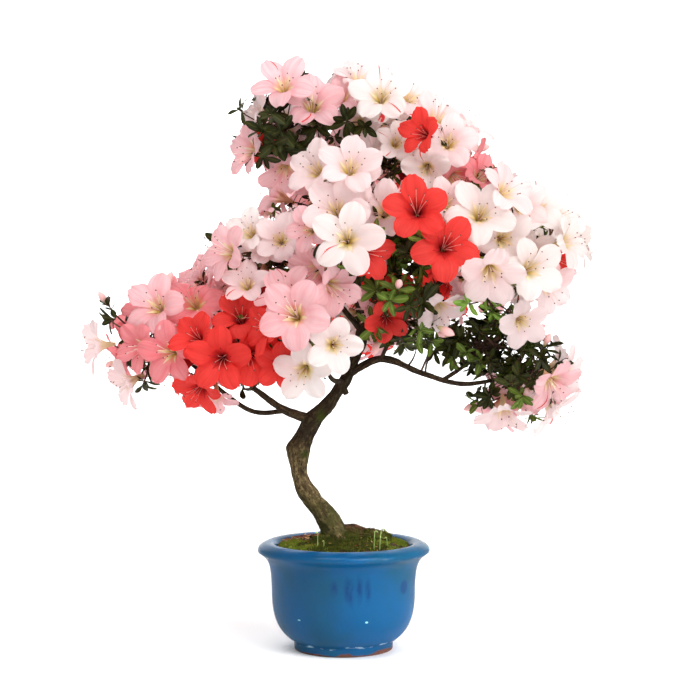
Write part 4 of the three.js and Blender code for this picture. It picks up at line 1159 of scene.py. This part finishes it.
def makePetals(flowers):
    # petalSurface over a grid, closer rows near the rim, with its own grain for the veins
    along, across = petal["along"], petal["across"]
    u = 1 - (1 - np.linspace(0, 1, along)[:, None]) ** 1.5
    v = np.linspace(-1, 1, across)[None]
    petals, colours = eachPetal(flowers)
    for colour, name in petal["names"].items():
        group = petals[colours == colour]
        verts = placeRound(*petalSurface(u, v, group), group, flowers)
        fades = np.broadcast_to(smooth(0.25, 0.85, u) + 0 * v, (len(group), along, across))
        finish = petalFinish(name.replace("_", " ") + " petal", *petal["tones"][colour])
        grain = np.stack(np.broadcast_arrays(6 * v, 0.9 * u, 3.7 * group[:, None, None]), -1)
        mesh = joinCopies(verts, gridFaces(along, across))
        addPiece("petals_" + name, mesh, finish, "bloom", fade=fades, grain=grain)


streak = {"share": 0.1, "rows": 7, "wedges": 0.12, "lift": 0.25, "tones": ("#d8393a", "#c3282c")}


def makeStreaks(flowers):
    # red flecks on pale petals: a strip or wedge laid just over a petal, widening to its edge
    petals, colours = eachPetal(flowers)
    petals = petals[np.isin(colours, ["l", "p", "w"]) & (chance(petals, 730) < streak["share"])]
    t = np.linspace(0, 1, streak["rows"])[None, :, None]
    first, middle, wide, wedge = (chance(petals, 731 + n)[:, None, None] for n in range(4))
    first = 0.4 + 0.3 * first
    wide = 0.025 + 0.05 * wide + 0.25 * (wedge < streak["wedges"])
    v = 1.3 * middle - 0.65 + wide * (0.15 + t) * np.array([-1, 0, 1])
    surface = petalSurface(first + (0.97 - first) * t, v, petals, streak["lift"])
    mesh = joinCopies(placeRound(*surface, petals, flowers), gridFaces(streak["rows"], 3))
    finish = mottledFinish("red fleck", 200, *streak["tones"], Roughness=0.55, Specular_IOR_Level=0.2)
    addPiece("petal_flecks", mesh, finish, "bloom")


tongue = {
    "rows": 7, "across": 4, "from": 0.06, "to": 0.52, "lift": 0.3,
    "tones": {"pale": ("#d6bd62", "#f6dfbf"), "red": ("#8e1416", "#c4272a")},  # depth and mouth of the throat
}


def makeThroats(flowers):
    # the throat's colour: a narrow tongue laid just inside each petal
    u = np.linspace(tongue["from"], tongue["to"], tongue["rows"])[:, None]
    v = np.linspace(-1, 1, tongue["across"])[None]
    petals, colours = eachPetal(flowers)
    red = colours == "r"
    for name, group in (("pale", petals[~red]), ("red", petals[red])):
        r, angle, z = petalSurface(u, v, group, tongue["lift"])
        angle = angle * (0.06 + 0.84 * (1 - smooth(0.1, tongue["to"], u)))
        verts = placeRound(r, angle, z, group, flowers)
        mesh = joinCopies(verts, gridFaces(tongue["rows"], tongue["across"]))
        tones = tongue["tones"][name]
        finish = fadedFinish(name + " throat", *tones, Roughness=0.6, Specular_IOR_Level=0.2)
        fades = np.broadcast_to(smooth(0.15, 0.5, u) + 0 * v, r.shape)
        addPiece("throats_" + name, mesh, finish, "bloom", fade=fades)


stamen = {
    "each": 6, "steps": 7, "radius": 0.33, "flare": 7, "bend": 6, "reach": (30, 8), "from": 0.15,
    "antherRadius": 0.75, "antherHalf": 1.3,
    "tones": {
        "pale filament": ("#f3cfc6", "#f7e6da"), "red filament": ("#e8796f", "#f0a398"),
        "anther": ("#4a2622", "#74402f"),
    },
}


def makeStamens(flowers):
    # filaments: a thin three-sided section along an arc out of the throat; anthers: a spindle at each end
    (base, axis, size), colour = flowers[:3], flowers[4]
    count, each, steps = len(base), stamen["each"], stamen["steps"]
    n, k = np.meshgrid(np.arange(count), np.arange(each), indexing="ij")
    least, more = stamen["reach"]
    reach = least + more * chance(n * each + k, 803)
    u = np.linspace(stamen["from"], 1, steps)[:, None]
    out = roundZ(k * 2 * np.pi / each + looseTurn * chance(n, 801))[:, :, None]
    sway = roundZ(looseTurn * chance(n, 802))[:, :, None]
    line = (1 + stamen["flare"] * u**2) * out + stamen["bend"] * u**2 * sway
    line = line + reach[..., None, None] * u * upward

    def aimed(local):
        flat = local.reshape(count, -1, 3) * size[:, None, None]
        world = tuckBehind(carried(turnTo(axis), flat, base), np.arange(count), flowers)
        return world.reshape(count * each, -1, 3)

    strands = aimed(line[..., None, :] + roundZ(around(3)) * stamen["radius"])
    half = stamen["antherHalf"] * upward
    spindle, skin = capped(stamen["antherRadius"] * roundZ(around(4))[None], -half, half)
    strand, red = gridFaces(steps, 3, True), np.repeat(colour == "r", each)
    for name, title, verts, faces in (
        ("filaments_pale", "pale filament", strands[~red], strand),
        ("filaments_red", "red filament", strands[red], strand),
        ("anthers", "anther", aimed(line[..., -1:, :] + spindle), skin),
    ):
        finish = mottledFinish(title, 250, *stamen["tones"][title], Roughness=0.6)
        addPiece(name, joinCopies(verts, faces), finish, "bloom")


bud = {"length": 17, "radius": 3.4, "sides": 7, "rings": 7, "stub": 0.3, "tones": ("#b3b46a", "#f4bcb9")}


def makeBuds(buds):
    # a bud is a spindle, fuller towards its tip, with a slow twist
    place, axis, size = buds
    u = np.linspace(0.03, 0.98, bud["rings"])[:, None]
    r = bud["radius"] * np.sin(np.pi * u**1.3) ** 0.8 + bud["stub"]
    local = r[..., None] * roundZ(around(bud["sides"]) + u) + bud["length"] * u[..., None] * upward
    verts, faces = capped(local, [0, 0, 0], bud["length"] * upward)
    world = carried(turnTo(axis), verts * size[:, None, None], place)
    finish = fadedFinish("bud", *bud["tones"], Roughness=0.55, Specular_IOR_Level=0.25)
    fades = np.broadcast_to(smooth(1, 9, verts[:, 2]), (len(place), len(verts)))
    addPiece("buds", joinCopies(world, faces), finish, "bloom", fade=fades)


# Floor, light and camera

studio = {
    "camera": (6.5, -1600, 334), "target": (6.5, 0, 298.8), "lens": 82.3, "sensor": 36, "clip": 100,
    "floor": "#ffffff", "world": 0.65, "front": -6000, "back": 2200, "bend": 900, "top": 5000, "half": 7000,
    "lights": [  # place, aim, size and power of each soft panel, and how wide it shines in degrees
        ((850, -1150, 1300), (0, 0, 320), 1100, 20, 180), ((-500, -900, 1900), (0, 0, 320), 900, 12, 180),
        ((0, 900, 1500), (0, 0, 320), 1200, 8, 180), ((1300, -800, 420), (0, 0, 50), 250, 0.2, 9),
        ((-900, 1300, 500), (-300, 3100, 700), 1200, 40, 180),
        ((900, 1300, 500), (300, 3100, 700), 1200, 40, 180),
    ],
}


def makeFloor():
    # floor and backdrop in one sheet: flat in front, rising behind in a quarter circle
    turn = np.linspace(0, np.pi / 2, 24)
    back, bend = studio["back"], studio["bend"]
    rise = np.stack([back + bend * np.sin(turn), bend - bend * np.cos(turn)], -1)
    profile = np.vstack([[studio["front"], 0], rise, [back + bend, studio["top"]]])
    sides = np.array([-studio["half"], studio["half"]])
    sheet = np.stack(np.broadcast_arrays(sides, profile[:, :1], profile[:, 1:]), -1).reshape(-1, 3)
    finish = dress(newFinish("floor")[0], Roughness=0.9, Base_Color=studio["floor"])
    addObject("floor", fillMesh("floor", (sheet, gridFaces(len(profile), 2)), finish))


def aimObject(name, data, place, aim):  # a lamp or camera, turned to look at aim
    thing = addObject(name, data)
    thing.location = Vector(place) * mm
    thing.rotation_euler = (Vector(aim) - Vector(place)).to_track_quat("-Z", "Y").to_euler()
    return thing


def makeStudio():
    for k, (place, aim, size, power, spread) in enumerate(studio["lights"]):
        light = bpy.data.lights.new(f"panel_{k}", "AREA")
        light.size, light.energy, light.spread = size * mm, power, np.radians(spread)
        aimObject(f"panel_{k}", light, place, aim).visible_camera = False
    scene, world = bpy.context.scene, bpy.data.worlds.new("studio")
    world.use_nodes = True
    for name, value in (("Color", "#ffffff"), ("Strength", studio["world"])):
        setInput(world.node_tree, world.node_tree.nodes["Background"].inputs[name], value)
    camera = bpy.data.cameras.new("camera")
    camera.lens, camera.sensor_width, camera.clip_end = studio["lens"], studio["sensor"], studio["clip"]
    scene.world, scene.view_settings.view_transform = world, "Standard"
    scene.camera = aimObject("camera", camera, studio["camera"], studio["target"])
    print("studio ready")


makeFloor()
makeStudio()
makePot()
makeSoil()
makeMoss()
makeLitter()
makeSprouts()
limbs = growLimbs()
makeLimbs(limbs)
twigs, flowers, sprays, buds = growMasses(limbs)
print("growth:", len(twigs[0]), "twigs,", len(flowers[0]), "blossoms,", len(sprays[0]), "sprays")
makeTwigs(twigs)
makeLeaves(sprays)
makePetals(flowers)
makeStreaks(flowers)
makeThroats(flowers)
makeStamens(flowers)
makeBuds(buds)
